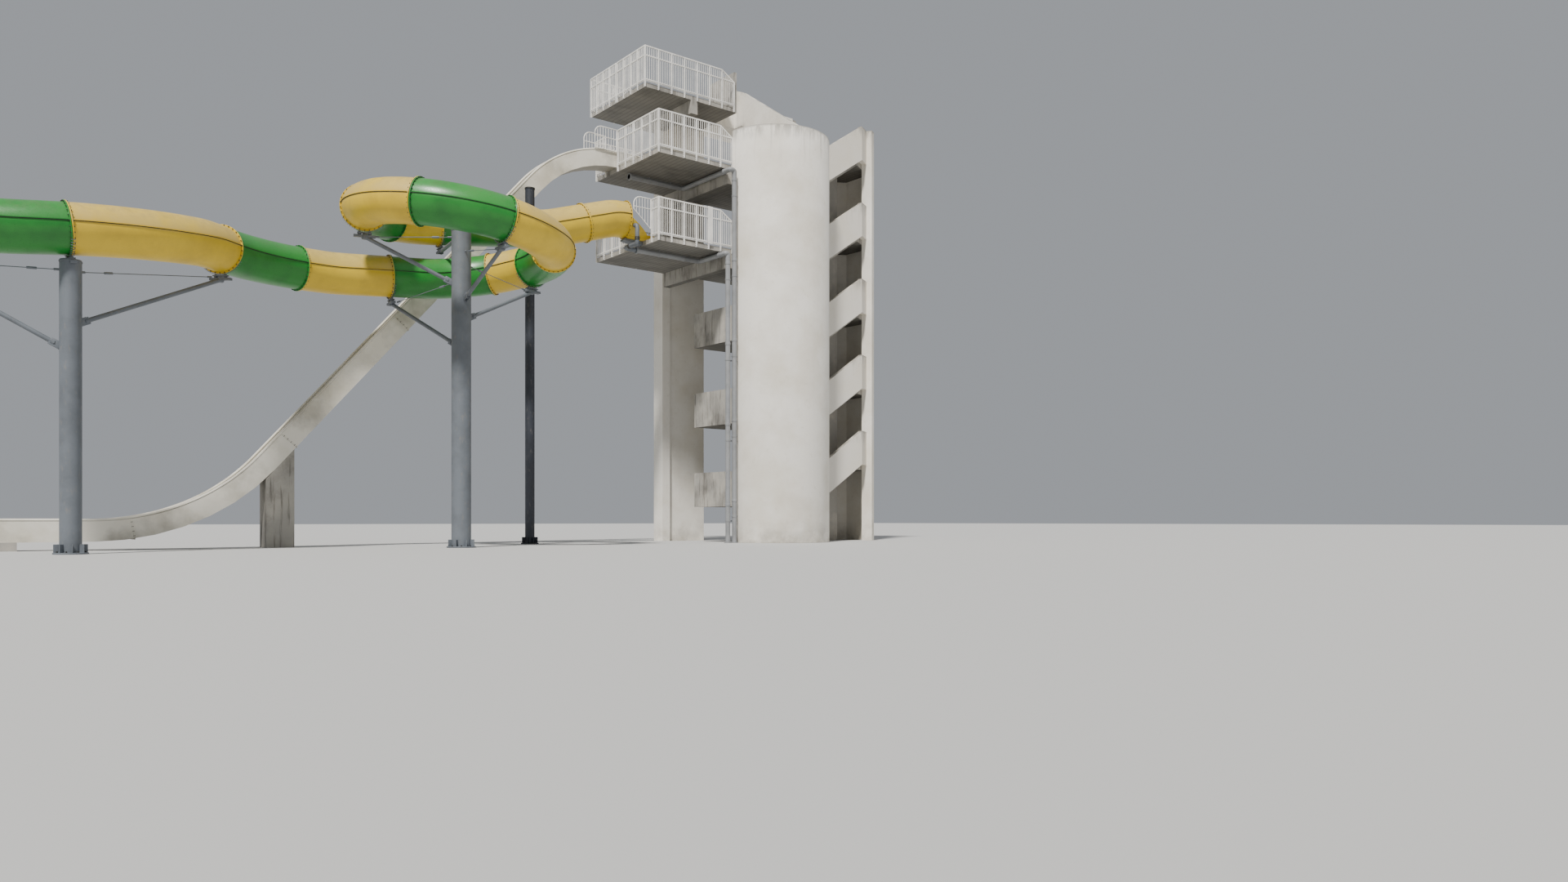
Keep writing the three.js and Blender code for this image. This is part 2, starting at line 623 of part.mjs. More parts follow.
function dropBand(low, high, upper) {
  const a = dropCurve(low);
  const b = dropCurve(high);
  const { x, z, angle } = a.slope;
  const cutAt = (offset, slack) => {
    const along = (DROP.joint - x + slack) / Math.cos(angle);
    return [-x - along * Math.cos(angle) - offset * Math.sin(angle),
      z - along * Math.sin(angle) + offset * Math.cos(angle)];
  };
  if (upper) {
    return [a.head, ...a.top, cutAt(low, 0), cutAt(high, 0), ...b.top.slice().reverse(), b.head];
  }
  return [cutAt(low, GAP * 2), ...a.bottom, a.end, b.end, ...b.bottom.slice().reverse(),
    cutAt(high, GAP * 2)];
}

function dropSlide() {
  const { y0, y1, floor, wall, height } = DROP;
  [true, false].forEach((upper) => {
    const bed = sideways(dropBand(-floor, 0, upper), y0, y1);
    const walls = [[y0, y0 + wall], [y1 - wall, y1]]
      .map(([near, far]) => sideways(dropBand(-floor / 2, height, upper), near, far));
    part(upper ? 'drop_slide_upper' : 'drop_slide_lower', fuse(bed, ...walls), DROP_COAT);
  });
}

roundWall();
platforms();
topPlatform();
rearPier();
upperLanding();
rakingWall();
stairs();
lowerLandings();
parapets();
stairWalls();
railings();
tubeSlide();
startTub();
slideColumns();
startBracket();
waterPipes();
dropPiers();
dropSlide();

const footprint = new THREE.Box3().setFromObject(BODY);
const middle = footprint.getCenter(new THREE.Vector3());
BODY.children.forEach((mesh) => mesh.geometry.translate(-middle.x, -middle.y, -footprint.min.z));

export default BODY;
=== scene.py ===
import logging
import math
from dataclasses import dataclass
from enum import Enum
from typing import Callable, Iterable, Sequence

import bpy
from mathutils import Matrix, Vector


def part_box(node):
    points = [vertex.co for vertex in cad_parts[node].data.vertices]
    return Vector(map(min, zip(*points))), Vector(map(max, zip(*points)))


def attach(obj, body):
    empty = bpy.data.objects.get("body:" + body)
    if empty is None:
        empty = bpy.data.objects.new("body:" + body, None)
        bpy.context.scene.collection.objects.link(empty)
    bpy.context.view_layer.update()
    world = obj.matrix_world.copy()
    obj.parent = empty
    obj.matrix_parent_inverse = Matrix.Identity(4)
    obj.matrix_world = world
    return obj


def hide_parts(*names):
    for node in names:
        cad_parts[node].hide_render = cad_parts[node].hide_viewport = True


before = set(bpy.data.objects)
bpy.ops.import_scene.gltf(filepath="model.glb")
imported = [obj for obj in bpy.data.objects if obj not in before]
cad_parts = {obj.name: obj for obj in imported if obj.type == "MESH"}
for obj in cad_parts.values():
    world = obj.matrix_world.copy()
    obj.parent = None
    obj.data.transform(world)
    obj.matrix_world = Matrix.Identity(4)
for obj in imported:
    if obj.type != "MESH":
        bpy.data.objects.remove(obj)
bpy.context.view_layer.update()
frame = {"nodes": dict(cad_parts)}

LOG = logging.getLogger("water_slide_tower")
Point = tuple[float, float, float]

# Set-out values shared with the solids, in metres
FLIGHT_RISE = 1.53
LEVELS = tuple(count * FLIGHT_RISE for count in (7, 9, 11))
SLAB = 0.16
GUARD = 1.35
WALL_TOP = 10 * FLIGHT_RISE + GUARD
SPINE_TOP = 10 * FLIGHT_RISE + 0.85
ROUND_TOP = LEVELS[1] + 1.28
PLATFORM_REAR = 4.3
UPPER_FRONT, UPPER_REAR = 2.01, 5.96
MID_RAIL = 0.985
SEAT_DROP = 0.715
SET_OUT = Vector((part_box("platform_1")[0].x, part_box("rear_pier")[0].y - PLATFORM_REAR, 0.0))


class Slot(Enum):
    """Material slot names; none of the added pieces uses them."""

    RENDER = "render"
    WHITE_PAINT = "white_paint"
    DROP_SLIDE = "drop_slide_coat"
    YELLOW = "yellow"
    GREEN = "green"
    GREY_STEEL = "grey_steel"


# Short typed wrappers round the modelling operators


def deselect() -> None:
    """Leave object mode's selection empty."""
    bpy.ops.object.select_all(action="DESELECT")


def select(*pieces: bpy.types.Object) -> bpy.types.Object:
    """Select these pieces alone.

    Args:
        pieces: the objects to select; the first becomes the active one.

    Returns:
        The active object.
    """
    deselect()
    for piece in pieces:
        piece.select_set(True)
    bpy.context.view_layer.objects.active = pieces[0]
    return pieces[0]


def settle(piece: bpy.types.Object) -> bpy.types.Object:
    """Put a piece's place, turn and scale into its mesh.

    Args:
        piece: the object to settle.

    Returns:
        The same object, at the origin.
    """
    select(piece)
    bpy.ops.object.transform_apply(location=True, rotation=True, scale=True)
    return piece


def block(low: Sequence[float], high: Sequence[float]) -> bpy.types.Object:
    """Add a box between two corners.

    Args:
        low: lowest corner.
        high: highest corner.

    Returns:
        The new box.
    """
    a, b = Vector(low), Vector(high)
    bpy.ops.mesh.primitive_cube_add(size=1.0, location=(a + b) / 2)
    piece = bpy.context.object
    piece.scale = b - a
    return settle(piece)


def rod(start: Sequence[float], end: Sequence[float], radius: float, sides: int = 12) -> bpy.types.Object:
    """Add a round rod between two points.

    Args:
        start: centre of one end.
        end: centre of the other end.
        radius: the rod's radius.
        sides: number of sides round it.

    Returns:
        The new rod.
    """
    a, b = Vector(start), Vector(end)
    turn = (b - a).to_track_quat("Z", "Y").to_euler()
    bpy.ops.mesh.primitive_cylinder_add(
        vertices=sides, radius=radius, depth=(b - a).length, location=(a + b) / 2, rotation=turn)
    return settle(bpy.context.object)


def apply(piece: bpy.types.Object, kind: str, **settings: object) -> bpy.types.Object:
    """Add a modifier and apply it.

    Args:
        piece: the object to change.
        kind: the modifier's type.
        settings: values for the modifier.

    Returns:
        The same object.
    """
    select(piece)
    modifier = piece.modifiers.new(kind.title(), kind)
    for key, value in settings.items():
        setattr(modifier, key, value)
    bpy.ops.object.modifier_apply(modifier=modifier.name)
    return piece


def bevel(piece: bpy.types.Object, width: float, segments: int = 1) -> bpy.types.Object:
    """Round a piece's sharp edges by a small width."""
    return apply(piece, "BEVEL", width=width, segments=segments, limit_method="ANGLE", angle_limit=0.6)


def repeat(piece: bpy.types.Object, count: int, step: Sequence[float]) -> bpy.types.Object:
    """Repeat a piece in a row.

    Args:
        piece: the object to repeat.
        count: how many there are in all.
        step: the way from one to the next.

    Returns:
        The same object, holding the whole row.
    """
    return apply(piece, "ARRAY", count=count, use_relative_offset=False, use_constant_offset=True,
                 constant_offset_displace=Vector(step))


def join(pieces: Iterable[bpy.types.Object]) -> bpy.types.Object:
    """Join pieces into one object.

    Args:
        pieces: the objects to join.

    Returns:
        The joined object.
    """
    whole = select(*pieces)
    bpy.ops.object.join()
    return whole


def spin(piece: bpy.types.Object, steps: int, angle: float, centre: Point, axis: Point,
         copies: bool = False) -> bpy.types.Object:
    """Spin a piece's whole mesh round an axis in edit mode.

    Args:
        piece: the object whose mesh is spun.
        steps: number of steps.
        angle: the whole angle swept.
        centre: a point on the axis.
        axis: direction of the axis.
        copies: make separate copies instead of a swept skin.

    Returns:
        The same object.
    """
    select(piece)
    bpy.ops.object.mode_set(mode="EDIT")
    bpy.ops.mesh.select_all(action="SELECT")
    bpy.ops.mesh.spin(steps=steps, angle=-angle, center=centre, axis=axis, dupli=copies)
    bpy.ops.mesh.select_all(action="SELECT")
    bpy.ops.mesh.remove_doubles(threshold=1e-5)
    if not copies:
        bpy.ops.mesh.normals_make_consistent(inside=False)
    bpy.ops.object.mode_set(mode="OBJECT")
    return piece


def pick(piece: bpy.types.Object, test: Callable[[Vector], bool]) -> None:
    """Select the vertices of a piece that pass a test, and no others.

    Args:
        piece: the object.
        test: takes a vertex's place and says whether it is selected.
    """
    select(piece)
    bpy.ops.object.mode_set(mode="EDIT")
    bpy.ops.mesh.select_mode(type="VERT")
    bpy.ops.mesh.select_all(action="DESELECT")
    bpy.ops.object.mode_set(mode="OBJECT")
    for vertex in piece.data.vertices:
        vertex.select = test(vertex.co)


def route(points: Sequence[Sequence[float]], radius: float = 0.0, sides: int = 3) -> bpy.types.Object:
    """Draw a poly line through points, round and solid if it has a radius.

    Args:
        points: the points in order.
        radius: radius of the round section, or 0 for a bare guide line.
        sides: resolution of the round section.

    Returns:
        A mesh pipe, or a bare curve when the radius is 0.
    """
    curve = bpy.data.curves.new("route", "CURVE")
    curve.dimensions = "3D"
    curve.twist_mode = "MINIMUM" if radius else "Z_UP"
    line = curve.splines.new("POLY")
    line.points.add(len(points) - 1)
    for knot, place in zip(line.points, points):
        knot.co = (*place, 1.0)
    piece = bpy.data.objects.new("route", curve)
    bpy.context.scene.collection.objects.link(piece)
    if radius:
        curve.bevel_depth = radius
        curve.bevel_resolution = sides
        curve.use_fill_caps = True
        select(piece)
        bpy.ops.object.convert(target="MESH")
        piece = bpy.context.object
    return piece


def bend(piece: bpy.types.Object, points: Sequence[Vector]) -> bpy.types.Object:
    """Bend a piece that lies along +X onto a line.

    Args:
        piece: the straight piece, starting at x = 0.
        points: the line's points.

    Returns:
        The same object, bent.
    """
    guide = route(points)
    apply(piece, "CURVE", object=guide, deform_axis="POS_X")
    bpy.data.objects.remove(guide)
    return piece


def smooth(piece: bpy.types.Object, degrees: float = 35.0) -> bpy.types.Object:
    """Shade a piece smooth below an edge angle."""
    select(piece)
    bpy.ops.object.shade_smooth_by_angle(angle=math.radians(degrees))
    return piece


def paint(piece: bpy.types.Object, *materials: bpy.types.Material) -> bpy.types.Object:
    """Give a piece its materials in slot order."""
    piece.data.materials.clear()
    for material in materials:
        piece.data.materials.append(material)
    return piece


def fit(piece: bpy.types.Object, name: str, replaced: Sequence[str] = ()) -> bpy.types.Object:
    """Name a finished piece, move it to the row frame and fix it to the structure.

    Args:
        piece: the piece, modelled from the set-out corner.
        name: its name.
        replaced: the solids that it stands for.

    Returns:
        The same object.
    """
    piece.name = piece.data.name = name
    piece.location = SET_OUT
    settle(piece)
    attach(piece, "root")
    if replaced:
        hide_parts(*replaced)
    LOG.info("%s: %d faces", name, len(piece.data.polygons))
    return piece


# Finishes


def rgb(code: int) -> tuple[float, float, float, float]:
    """Turn a hex colour into linear values.

    Args:
        code: the colour as 0xRRGGBB.

    Returns:
        Linear red, green, blue and an alpha of 1.
    """
    parts = [(code >> shift & 255) / 255 for shift in (16, 8, 0)]
    linear = [v / 12.92 if v <= 0.04045 else ((v + 0.055) / 1.055) ** 2.4 for v in parts]
    return (*linear, 1.0)


class Palette:
    """A material's node tree, built from the shader back."""

    def __init__(self, name: str) -> None:
        """Start a material.

        Args:
            name: the material's name.
        """
        self.material = bpy.data.materials.new(name)
        self.material.use_nodes = True
        self.tree = self.material.node_tree
        self.shader = self.tree.nodes["Principled BSDF"]
        self.place = self.add("ShaderNodeTexCoord").outputs["Object"]
        facing = self.add("ShaderNodeSeparateXYZ", {0: self.add("ShaderNodeNewGeometry").outputs["Normal"]})
        self.facing_up = facing.outputs[2]
        self.height = self.add("ShaderNodeSeparateXYZ", {0: self.place}).outputs[2]

    def add(self, kind: str, inputs: dict | None = None, **settings: object) -> bpy.types.Node:
        """Add a node.

        Args:
            kind: the node's type.
            inputs: values or sockets by input name or number.
            settings: the node's own settings.

        Returns:
            The new node.
        """
        node = self.tree.nodes.new(kind)
        for key, value in settings.items():
            setattr(node, key, value)
        for key, value in (inputs or {}).items():
            if isinstance(value, bpy.types.NodeSocket):
                self.tree.links.new(value, node.inputs[key])
            else:
                node.inputs[key].default_value = value
        return node

    def noise(self, scale: float, stretch: Point = (1.0, 1.0, 1.0),
              detail: float = 4.0) -> bpy.types.NodeSocket:
        """Cloudy noise on the piece's own coordinates.

        Args:
            scale: size of the noise, in features a metre.
            stretch: factors on each axis.
            detail: levels of detail.

        Returns:
            The noise, from 0 to 1.
        """
        mapped = self.add("ShaderNodeMapping", {"Vector": self.place, "Scale": stretch}).outputs[0]
        return self.add("ShaderNodeTexNoise", {"Vector": mapped, "Scale": scale, "Detail": detail,
                                               "Roughness": 0.6}).outputs[0]

    def band(self, value: bpy.types.NodeSocket, low: float, high: float) -> bpy.types.NodeSocket:
        """Stretch a value so that low gives 0 and high gives 1, clamped."""
        return self.add("ShaderNodeMapRange", {0: value, 1: low, 2: high, 3: 0.0, 4: 1.0}).outputs[0]

    def times(self, a: bpy.types.NodeSocket, b: bpy.types.NodeSocket | float) -> bpy.types.NodeSocket:
        """Multiply two values."""
        return self.add("ShaderNodeMath", {0: a, 1: b}, operation="MULTIPLY").outputs[0]

    def most(self, a: bpy.types.NodeSocket, b: bpy.types.NodeSocket) -> bpy.types.NodeSocket:
        """The larger of two values."""
        return self.add("ShaderNodeMath", {0: a, 1: b}, operation="MAXIMUM").outputs[0]

    def mix(self, base: object, over: object, amount: bpy.types.NodeSocket | float) -> bpy.types.NodeSocket:
        """Lay one colour over another.

        Args:
            base: colour or socket below.
            over: colour or socket above.
            amount: how much of it covers.

        Returns:
            The mixed colour.
        """
        node = self.add("ShaderNodeMix", data_type="RGBA")
        for index, value in ((0, amount), (6, base), (7, over)):
            if isinstance(value, bpy.types.NodeSocket):
                self.tree.links.new(value, node.inputs[index])
            else:
                node.inputs[index].default_value = value
        return node.outputs[2]

    def close(self, colour: bpy.types.NodeSocket, bump: bpy.types.NodeSocket, depth: float,
              rough: tuple[float, float], metal: float = 0.0) -> bpy.types.Material:
        """Link the colour, relief and roughness to the shader.

        Args:
            colour: the base colour.
            bump: relief, from 0 to 1.
            depth: how deep the relief is, in metres.
            rough: roughness at the relief's low and high points.
            metal: metallic value.

        Returns:
            The finished material.
        """
        relief = self.add("ShaderNodeBump", {"Height": bump, "Distance": depth, "Strength": 0.6})
        gloss = self.add("ShaderNodeMapRange", {0: bump, 1: 0.3, 2: 0.7, 3: rough[0], 4: rough[1]})
        self.tree.links.new(colour, self.shader.inputs["Base Color"])
        self.tree.links.new(relief.outputs[0], self.shader.inputs["Normal"])
        self.tree.links.new(gloss.outputs[0], self.shader.inputs["Roughness"])
        self.shader.inputs["Metallic"].default_value = metal
        return self.material


@dataclass(frozen=True)
class RenderCoat:
    """Off-white cement render with grey runs below its rim."""

    name: str
    rim: float
    reach: float = 2.4
    colour: int = 0xF0ECE3

    def build(self) -> bpy.types.Material:
        """Build the material."""
        p = Palette(self.name)
        colour = p.mix(rgb(self.colour), rgb(0xDCD5C6), p.band(p.noise(0.55), 0.42, 0.72))
        colour = p.mix(colour, rgb(0xC9C1B1), p.times(p.band(p.noise(7.0, detail=8.0), 0.58, 0.8), 0.4))
        runs = p.band(p.noise(1.0, (5.5, 5.5, 0.3)), 0.54, 0.7)
        below = p.band(p.height, self.rim - self.reach, self.rim)
        colour = p.mix(colour, rgb(0x8A857B), p.times(p.times(runs, below), 0.5))
        drips = p.band(p.noise(4.5, (1.0, 1.0, 0.25), 6.0), 0.42, 0.62)
        rim = p.times(p.band(p.height, self.rim - 0.55, self.rim), drips)
        edge = p.band(p.height, self.rim - 0.1, self.rim)
        colour = p.mix(colour, rgb(0x77736B), p.times(p.most(rim, edge), 0.72))
        top = p.times(p.band(p.facing_up, 0.6, 0.9), p.band(p.noise(2.5), 0.3, 0.6))
        colour = p.mix(colour, rgb(0x6B665C), p.times(top, 0.85))
        foot = p.times(p.band(p.height, 0.9, 0.0), p.band(p.noise(1.6), 0.35, 0.65))
        colour = p.mix(colour, rgb(0x8B8374), p.times(foot, 0.6))
        return p.close(colour, p.noise(45.0, detail=6.0), 0.003, (0.8, 0.95))


@dataclass(frozen=True)
class BareConcrete:
    """Board-marked grey concrete with dark damp stains, and painted shade on its undersides."""

    name: str = "bare_concrete"
    colour: int = 0xA09D96

    def build(self) -> bpy.types.Material:
        """Build the material."""
        p = Palette(self.name)
        colour = p.mix(rgb(self.colour), rgb(0xB8B3A9), p.band(p.noise(0.9), 0.4, 0.68))
        damp = p.band(p.noise(0.8, (1.0, 1.6, 1.0), 8.0), 0.48, 0.7)
        colour = p.mix(colour, rgb(0x56534F), p.times(damp, 0.7))
        # Painted shade: downward faces are darkened towards 0x55544F for the shade under slabs and stairs;
        # the board marks below use the same mask.
        under = p.band(p.facing_up, -0.3, -0.8)
        colour = p.mix(colour, rgb(0x55544F), p.times(under, 0.7))
        runs = p.band(p.noise(1.0, (9.0, 9.0, 0.8)), 0.54, 0.7)
        side = p.times(p.band(p.facing_up, -0.5, -0.1), p.band(p.facing_up, 0.5, 0.1))
        colour = p.mix(colour, rgb(0x4C4740), p.times(p.times(runs, side), 0.7))
        boards = p.add("ShaderNodeTexWave", {"Vector": p.place, "Scale": 1.6, "Distortion": 0.4,
                                             "Detail": 2.0}, bands_direction="X").outputs[1]
        colour = p.mix(colour, rgb(0x4A463F), p.times(p.times(p.band(boards, 0.1, 0.0), under), 0.6))
        return p.close(colour, p.noise(30.0, detail=8.0), 0.004, (0.85, 0.97))


@dataclass(frozen=True)
class PaintedSteel:
    """Painted steel with chips and rust bleeding through."""

    name: str
    colour: int
    rust: float = 0.3
    rough: tuple[float, float] = (0.4, 0.6)
    metal: float = 0.0

    def build(self) -> bpy.types.Material:
        """Build the material."""
        p = Palette(self.name)
        dull = tuple(v * 0.72 for v in rgb(self.colour)[:3])
        colour = p.mix(rgb(self.colour), (*dull, 1.0), p.band(p.noise(1.8), 0.4, 0.75))
        streaks = p.band(p.noise(14.0, (1.0, 1.0, 0.3)), 0.58, 0.75)
        colour = p.mix(colour, rgb(0x8A8378), p.times(streaks, 0.4))
        spots = p.band(p.noise(9.0, detail=10.0), 0.66, 0.72)
        colour = p.mix(colour, rgb(0x6E3A1C), p.times(spots, self.rust))
        return p.close(colour, p.noise(60.0), 0.001, self.rough, self.metal)


@dataclass(frozen=True)
class Laminate:
    """Coloured glass-reinforced plastic, bleached and dusty on its upper half."""

    name: str
    colour: int
    bleached: int
    shade: int
    fade: float = 0.8
    rough: tuple[float, float] = (0.3, 0.55)

    def build(self) -> bpy.types.Material:
        """Build the material."""
        p = Palette(self.name)
        colour = p.mix(rgb(self.colour), rgb(self.shade), p.band(p.noise(1.3), 0.42, 0.75))
        dust = p.times(p.band(p.facing_up, 0.02, 0.16), p.band(p.noise(0.9, detail=7.0), 0.2, 0.5))
        colour = p.mix(colour, rgb(self.bleached), p.times(dust, self.fade))
        grit = p.times(p.band(p.facing_up, 0.3, 0.95), p.band(p.noise(5.0, detail=10.0), 0.42, 0.68))
        colour = p.mix(colour, rgb(0x6D6350), p.times(grit, 0.4))
        speck = p.band(p.noise(26.0, detail=8.0), 0.56, 0.72)
        colour = p.mix(colour, rgb(self.shade), p.times(speck, 0.45))
        return p.close(colour, p.noise(38.0), 0.0015, self.rough)


@dataclass(frozen=True)
class DropLaminate:
    """Off-white slide laminate with painted shade on its downward faces and grime along the bed."""

    name: str = "drop_slide_laminate"

    def build(self) -> bpy.types.Material:
        """Build the material."""
        p = Palette(self.name)
        colour = p.mix(rgb(0xE4E0D4), rgb(0xCDC7B6), p.band(p.noise(0.8), 0.4, 0.7))
        # Painted shade: downward faces are darkened towards 0x7A7568 for the shade under the slide.
        below = p.band(p.facing_up, -0.15, -0.5)
        colour = p.mix(colour, rgb(0x7A7568), p.times(below, 0.8))
        grime = p.times(p.band(p.noise(1.2, (0.5, 3.0, 0.5), 8.0), 0.5, 0.7), 0.55)
        colour = p.mix(colour, rgb(0x6E6858), grime)
        return p.close(colour, p.noise(30.0), 0.001, (0.4, 0.65))


# The tower


@dataclass
class RoundWall:
    """The half-round wall, from the ground to just above the middle platform."""

    centre: tuple[float, float] = (5.18, -0.0003)
    outer: float = 2.02
    thick: float = 0.2
    steps: int = 96

    def build(self, coat: bpy.types.Material) -> None:
        """Sweep the wall's section round half a turn.

        Args:
            coat: its finish.
        """
        x, y = self.centre
        wall = block((x - self.outer, y - 0.02, 0.0), (x - self.outer + self.thick, y, ROUND_TOP))
        pick(wall, lambda place: place.y < y - 0.01)
        bpy.ops.object.mode_set(mode="EDIT")
        bpy.ops.mesh.delete(type="VERT")
        bpy.ops.object.mode_set(mode="OBJECT")
        spin(wall, self.steps, math.pi, (x, y, 0.0), (0.0, 0.0, 1.0))
        select(wall)
        bpy.ops.object.mode_set(mode="EDIT")
        bpy.ops.mesh.select_all(action="DESELECT")
        bpy.ops.mesh.select_non_manifold(extend=False)
        bpy.ops.mesh.edge_face_add()
        bpy.ops.mesh.select_all(action="SELECT")
        bpy.ops.mesh.normals_make_consistent(inside=False)
        bpy.ops.object.mode_set(mode="OBJECT")
        bevel(wall, 0.012, 2)
        paint(smooth(wall), coat)
        fit(wall, "round_wall", [f"round_wall_{i}" for i in range(1, 5)])


@dataclass
class Tower:
    """The tower's walls and floors, which keep their solids."""

    nodes: dict[str, bpy.types.Object]

    def build(self, concrete: bpy.types.Material) -> None:
        """Dress each wall with runs below its own rim, and each floor in bare concrete.

        Args:
            concrete: finish of the floors and stairs.
        """
        rims = {"rear_pier": LEVELS[2] - SLAB, "upper_landing": LEVELS[2] + GUARD + 0.02,
                "raking_wall": LEVELS[2] + GUARD + 0.02, "stair_fin": WALL_TOP, "stair_end_wall": WALL_TOP,
                "stair_rear_wall": LEVELS[2] + 0.6}
        for name, rim in rims.items():
            paint(self.nodes[name], RenderCoat(f"{name}_render", rim).build())
        for k in range(1, 6):
            # Painted shade: the parapets' render is greyer than the other walls', standing in for their faces
            # lying in shade.
            coat = RenderCoat(f"stair_parapet_{k}_render", 2 * k * FLIGHT_RISE + GUARD, 1.0, 0xE0DBD1)
            paint(self.nodes[f"stair_parapet_{k}"], coat.build())
        # Painted shade: the spine wall gets a darker grey render, standing in for the shade inside the stair
        # recess.
        spine = RenderCoat("spine_wall_render", SPINE_TOP, 3.0, 0xA8A49C)
        paint(self.nodes["spine_wall"], spine.build())
        bare = ("platform", "first_flight", "stair_turn", "lower_landing", "drop_slide_pier")
        for name, node in self.nodes.items():
            if name.startswith(bare):
                paint(node, concrete)


@dataclass
class Fence:
    """One straight run of railing: the solids hold its posts and rails, and this adds what is thinner."""

    name: str
    level: float
    start: tuple[float, float]
    end: tuple[float, float]
    drops: bool = False
    pitch: float = 0.55
    balusters: int = 5
    radius: float = 0.0105

    @property
    def bays(self) -> int:
        """Number of bays, as in the solids."""
        return max(1, round((Vector(self.end) - Vector(self.start)).length / self.pitch))

    def along(self, share: float, z: float) -> Vector:
        """A point on the run.

        Args:
            share: how far along, from 0 to 1.
            z: its height.

        Returns:
            The point.
        """
        flat = Vector(self.start).lerp(Vector(self.end), share)
        return Vector((flat.x, flat.y, z))

    def build(self, white: bpy.types.Material, bolts: bpy.types.Material) -> None:
        """Add the balusters, the low second rail and the post bolts.

        Args:
            white: the railing's finish.
            bolts: the bolts' finish.
        """
        full = self.bays - 1 if self.drops else self.bays
        foot, head = self.level + 0.06, self.level + GUARD - 0.03
        step = 1.0 / self.bays / (self.balusters + 1)
        pieces = []
        if full:
            one = rod(self.along(step, foot), self.along(step, head), self.radius, 6)
            gap = self.along(step, 0.0) - self.along(0.0, 0.0)
            pieces.append(repeat(repeat(one, self.balusters, gap), full, gap * (self.balusters + 1)))
        if self.drops:
            for i in range(1, self.balusters + 1):
                share = full / self.bays + i * step
                top = head - (GUARD - MID_RAIL) * i / (self.balusters + 1)
                pieces.append(rod(self.along(share, foot), self.along(share, top), self.radius, 6))
        pieces.append(rod(self.along(0.0, foot), self.along(1.0, foot), 0.016, 8))
        whole = smooth(paint(join(pieces), white))
        fit(whole, f"{self.name}_balusters")
        self.build_bolts(bolts)

    def build_bolts(self, bolts: bpy.types.Material) -> None:
        """Add two hexagon heads to the foot of each post that isn't at a corner."""
        if self.bays < 2:
            return
        run = (self.along(1.0, 0.0) - self.along(0.0, 0.0)).normalized()
        heads = []
        for z in (self.level - 0.045, self.level - 0.115):
            root = self.along(1.0 / self.bays, z)
            heads.append(rod(root - run * 0.036, root + run * 0.036, 0.012, 6))
        gap = self.along(1.0 / self.bays, 0.0) - self.along(0.0, 0.0)
        fit(paint(repeat(join(heads), self.bays - 1, gap), bolts), f"{self.name}_bolts")


@dataclass
class GuardPanel:
    """A guard with a rounded outer corner beside a slide's start."""

    name: str
    y: float
    inner: float
    outer: float
    low: float
    high: float
    radius: float = 0.28
    low_outer: float | None = None

    def build(self, white: bpy.types.Material) -> None:
        """Bend the frame and fill it with balusters.

        Args:
            white: its finish.
        """
        low_outer = self.low if self.low_outer is None else self.low_outer
        corner = [(self.outer + self.radius - self.radius * math.sin(a),
                   self.high - self.radius + self.radius * math.cos(a))
                  for a in (math.radians(9 * i) for i in range(11))]
        frame_line = [(self.inner, self.low), (self.inner, self.high), *corner, (self.outer, low_outer)]
        pieces = [route([(x, self.y, z) for x, z in [*frame_line, frame_line[0]]], 0.02)]
        rail = self.high - 0.36
        pieces.append(route([(self.inner, self.y, rail), (self.outer, self.y, rail)], 0.016))
        count = max(2, round((self.inner - self.outer) / 0.105))
        for i in range(1, count):
            x = self.inner + (self.outer - self.inner) * i / count
            inset = max(0.0, self.outer + self.radius - x)
            top = self.high - self.radius + math.sqrt(self.radius ** 2 - inset ** 2)
            foot = self.low + (low_outer - self.low) * i / count
            pieces.append(rod((x, self.y, foot), (x, self.y, top), 0.0105, 6))
        fit(smooth(paint(join(pieces), white)), self.name)


@dataclass
class Railings:
    """All the railings of the three start platforms."""

    nodes: dict[str, bpy.types.Object]
    off: float = 0.0253

    def build(self, white: bpy.types.Material, bolts: bpy.types.Material) -> None:
        """Dress the railing solids and add what is thinner than they are.

        Args:
            white: the railings' finish.
            bolts: the bolts' finish.
        """
        for name, node in self.nodes.items():
            if name.startswith("railing"):
                paint(node, white)
        left, front, rear = -self.off, -self.off, PLATFORM_REAR + self.off
        for i, (near, far) in enumerate(((0.43, 2.01), (2.75, 3.64))):
            level, label = LEVELS[i], f"platform_{i + 1}"
            runs = [((left, near), (left, front), False), ((left, front), (3.13, front), True),
                    ((left, far), (left, rear), False), ((left, rear), (2.87, rear), False)]
            for k, (start, end, drops) in enumerate(runs):
                Fence(f"{label}_fence_{k + 1}", level, start, end, drops).build(white, bolts)
        x0, x1, y0, y1 = 0.69 - self.off, 4.84, UPPER_FRONT - self.off, UPPER_REAR + self.off
        half = (UPPER_FRONT + UPPER_REAR) / 2
        runs = [((x0, half), (x0, y0), False), ((x0, y0), (x1 - 0.15, y0), True),
                ((x0, half + 0.06), (x0, y1), False), ((x0, y1), (x1 - 0.03, y1), False)]
        for k, (start, end, drops) in enumerate(runs):
            Fence(f"platform_3_fence_{k + 1}", LEVELS[2], start, end, drops).build(white, bolts)
        for tag, y in (("near", 2.79), ("far", 3.6)):
            GuardPanel(f"drop_slide_guard_{tag}", y, -0.06, -0.95, LEVELS[1] + 0.55,
                       LEVELS[1] + GUARD).build(white)
        for tag, y in (("near", 0.45), ("far", 1.97)):
            GuardPanel(f"tube_guard_{tag}", y, -0.06, -0.74, LEVELS[0] + 0.3, LEVELS[0] + GUARD,
                       low_outer=LEVELS[0] + 0.9).build(white)
        plate = block((2.04, -0.0665, LEVELS[0] + 0.03), (2.25, -0.0515, LEVELS[0] + GUARD + 0.02))
        fit(paint(bevel(plate, 0.004), white), "platform_1_cover_plate")


# The tube slide


@dataclass(frozen=True)
class Straight:
    """A straight leg of the tube's plan."""

    length: float


@dataclass(frozen=True)
class Turn:
    """A bend of the tube's plan, positive to the left."""

    radius: float
    degrees: float


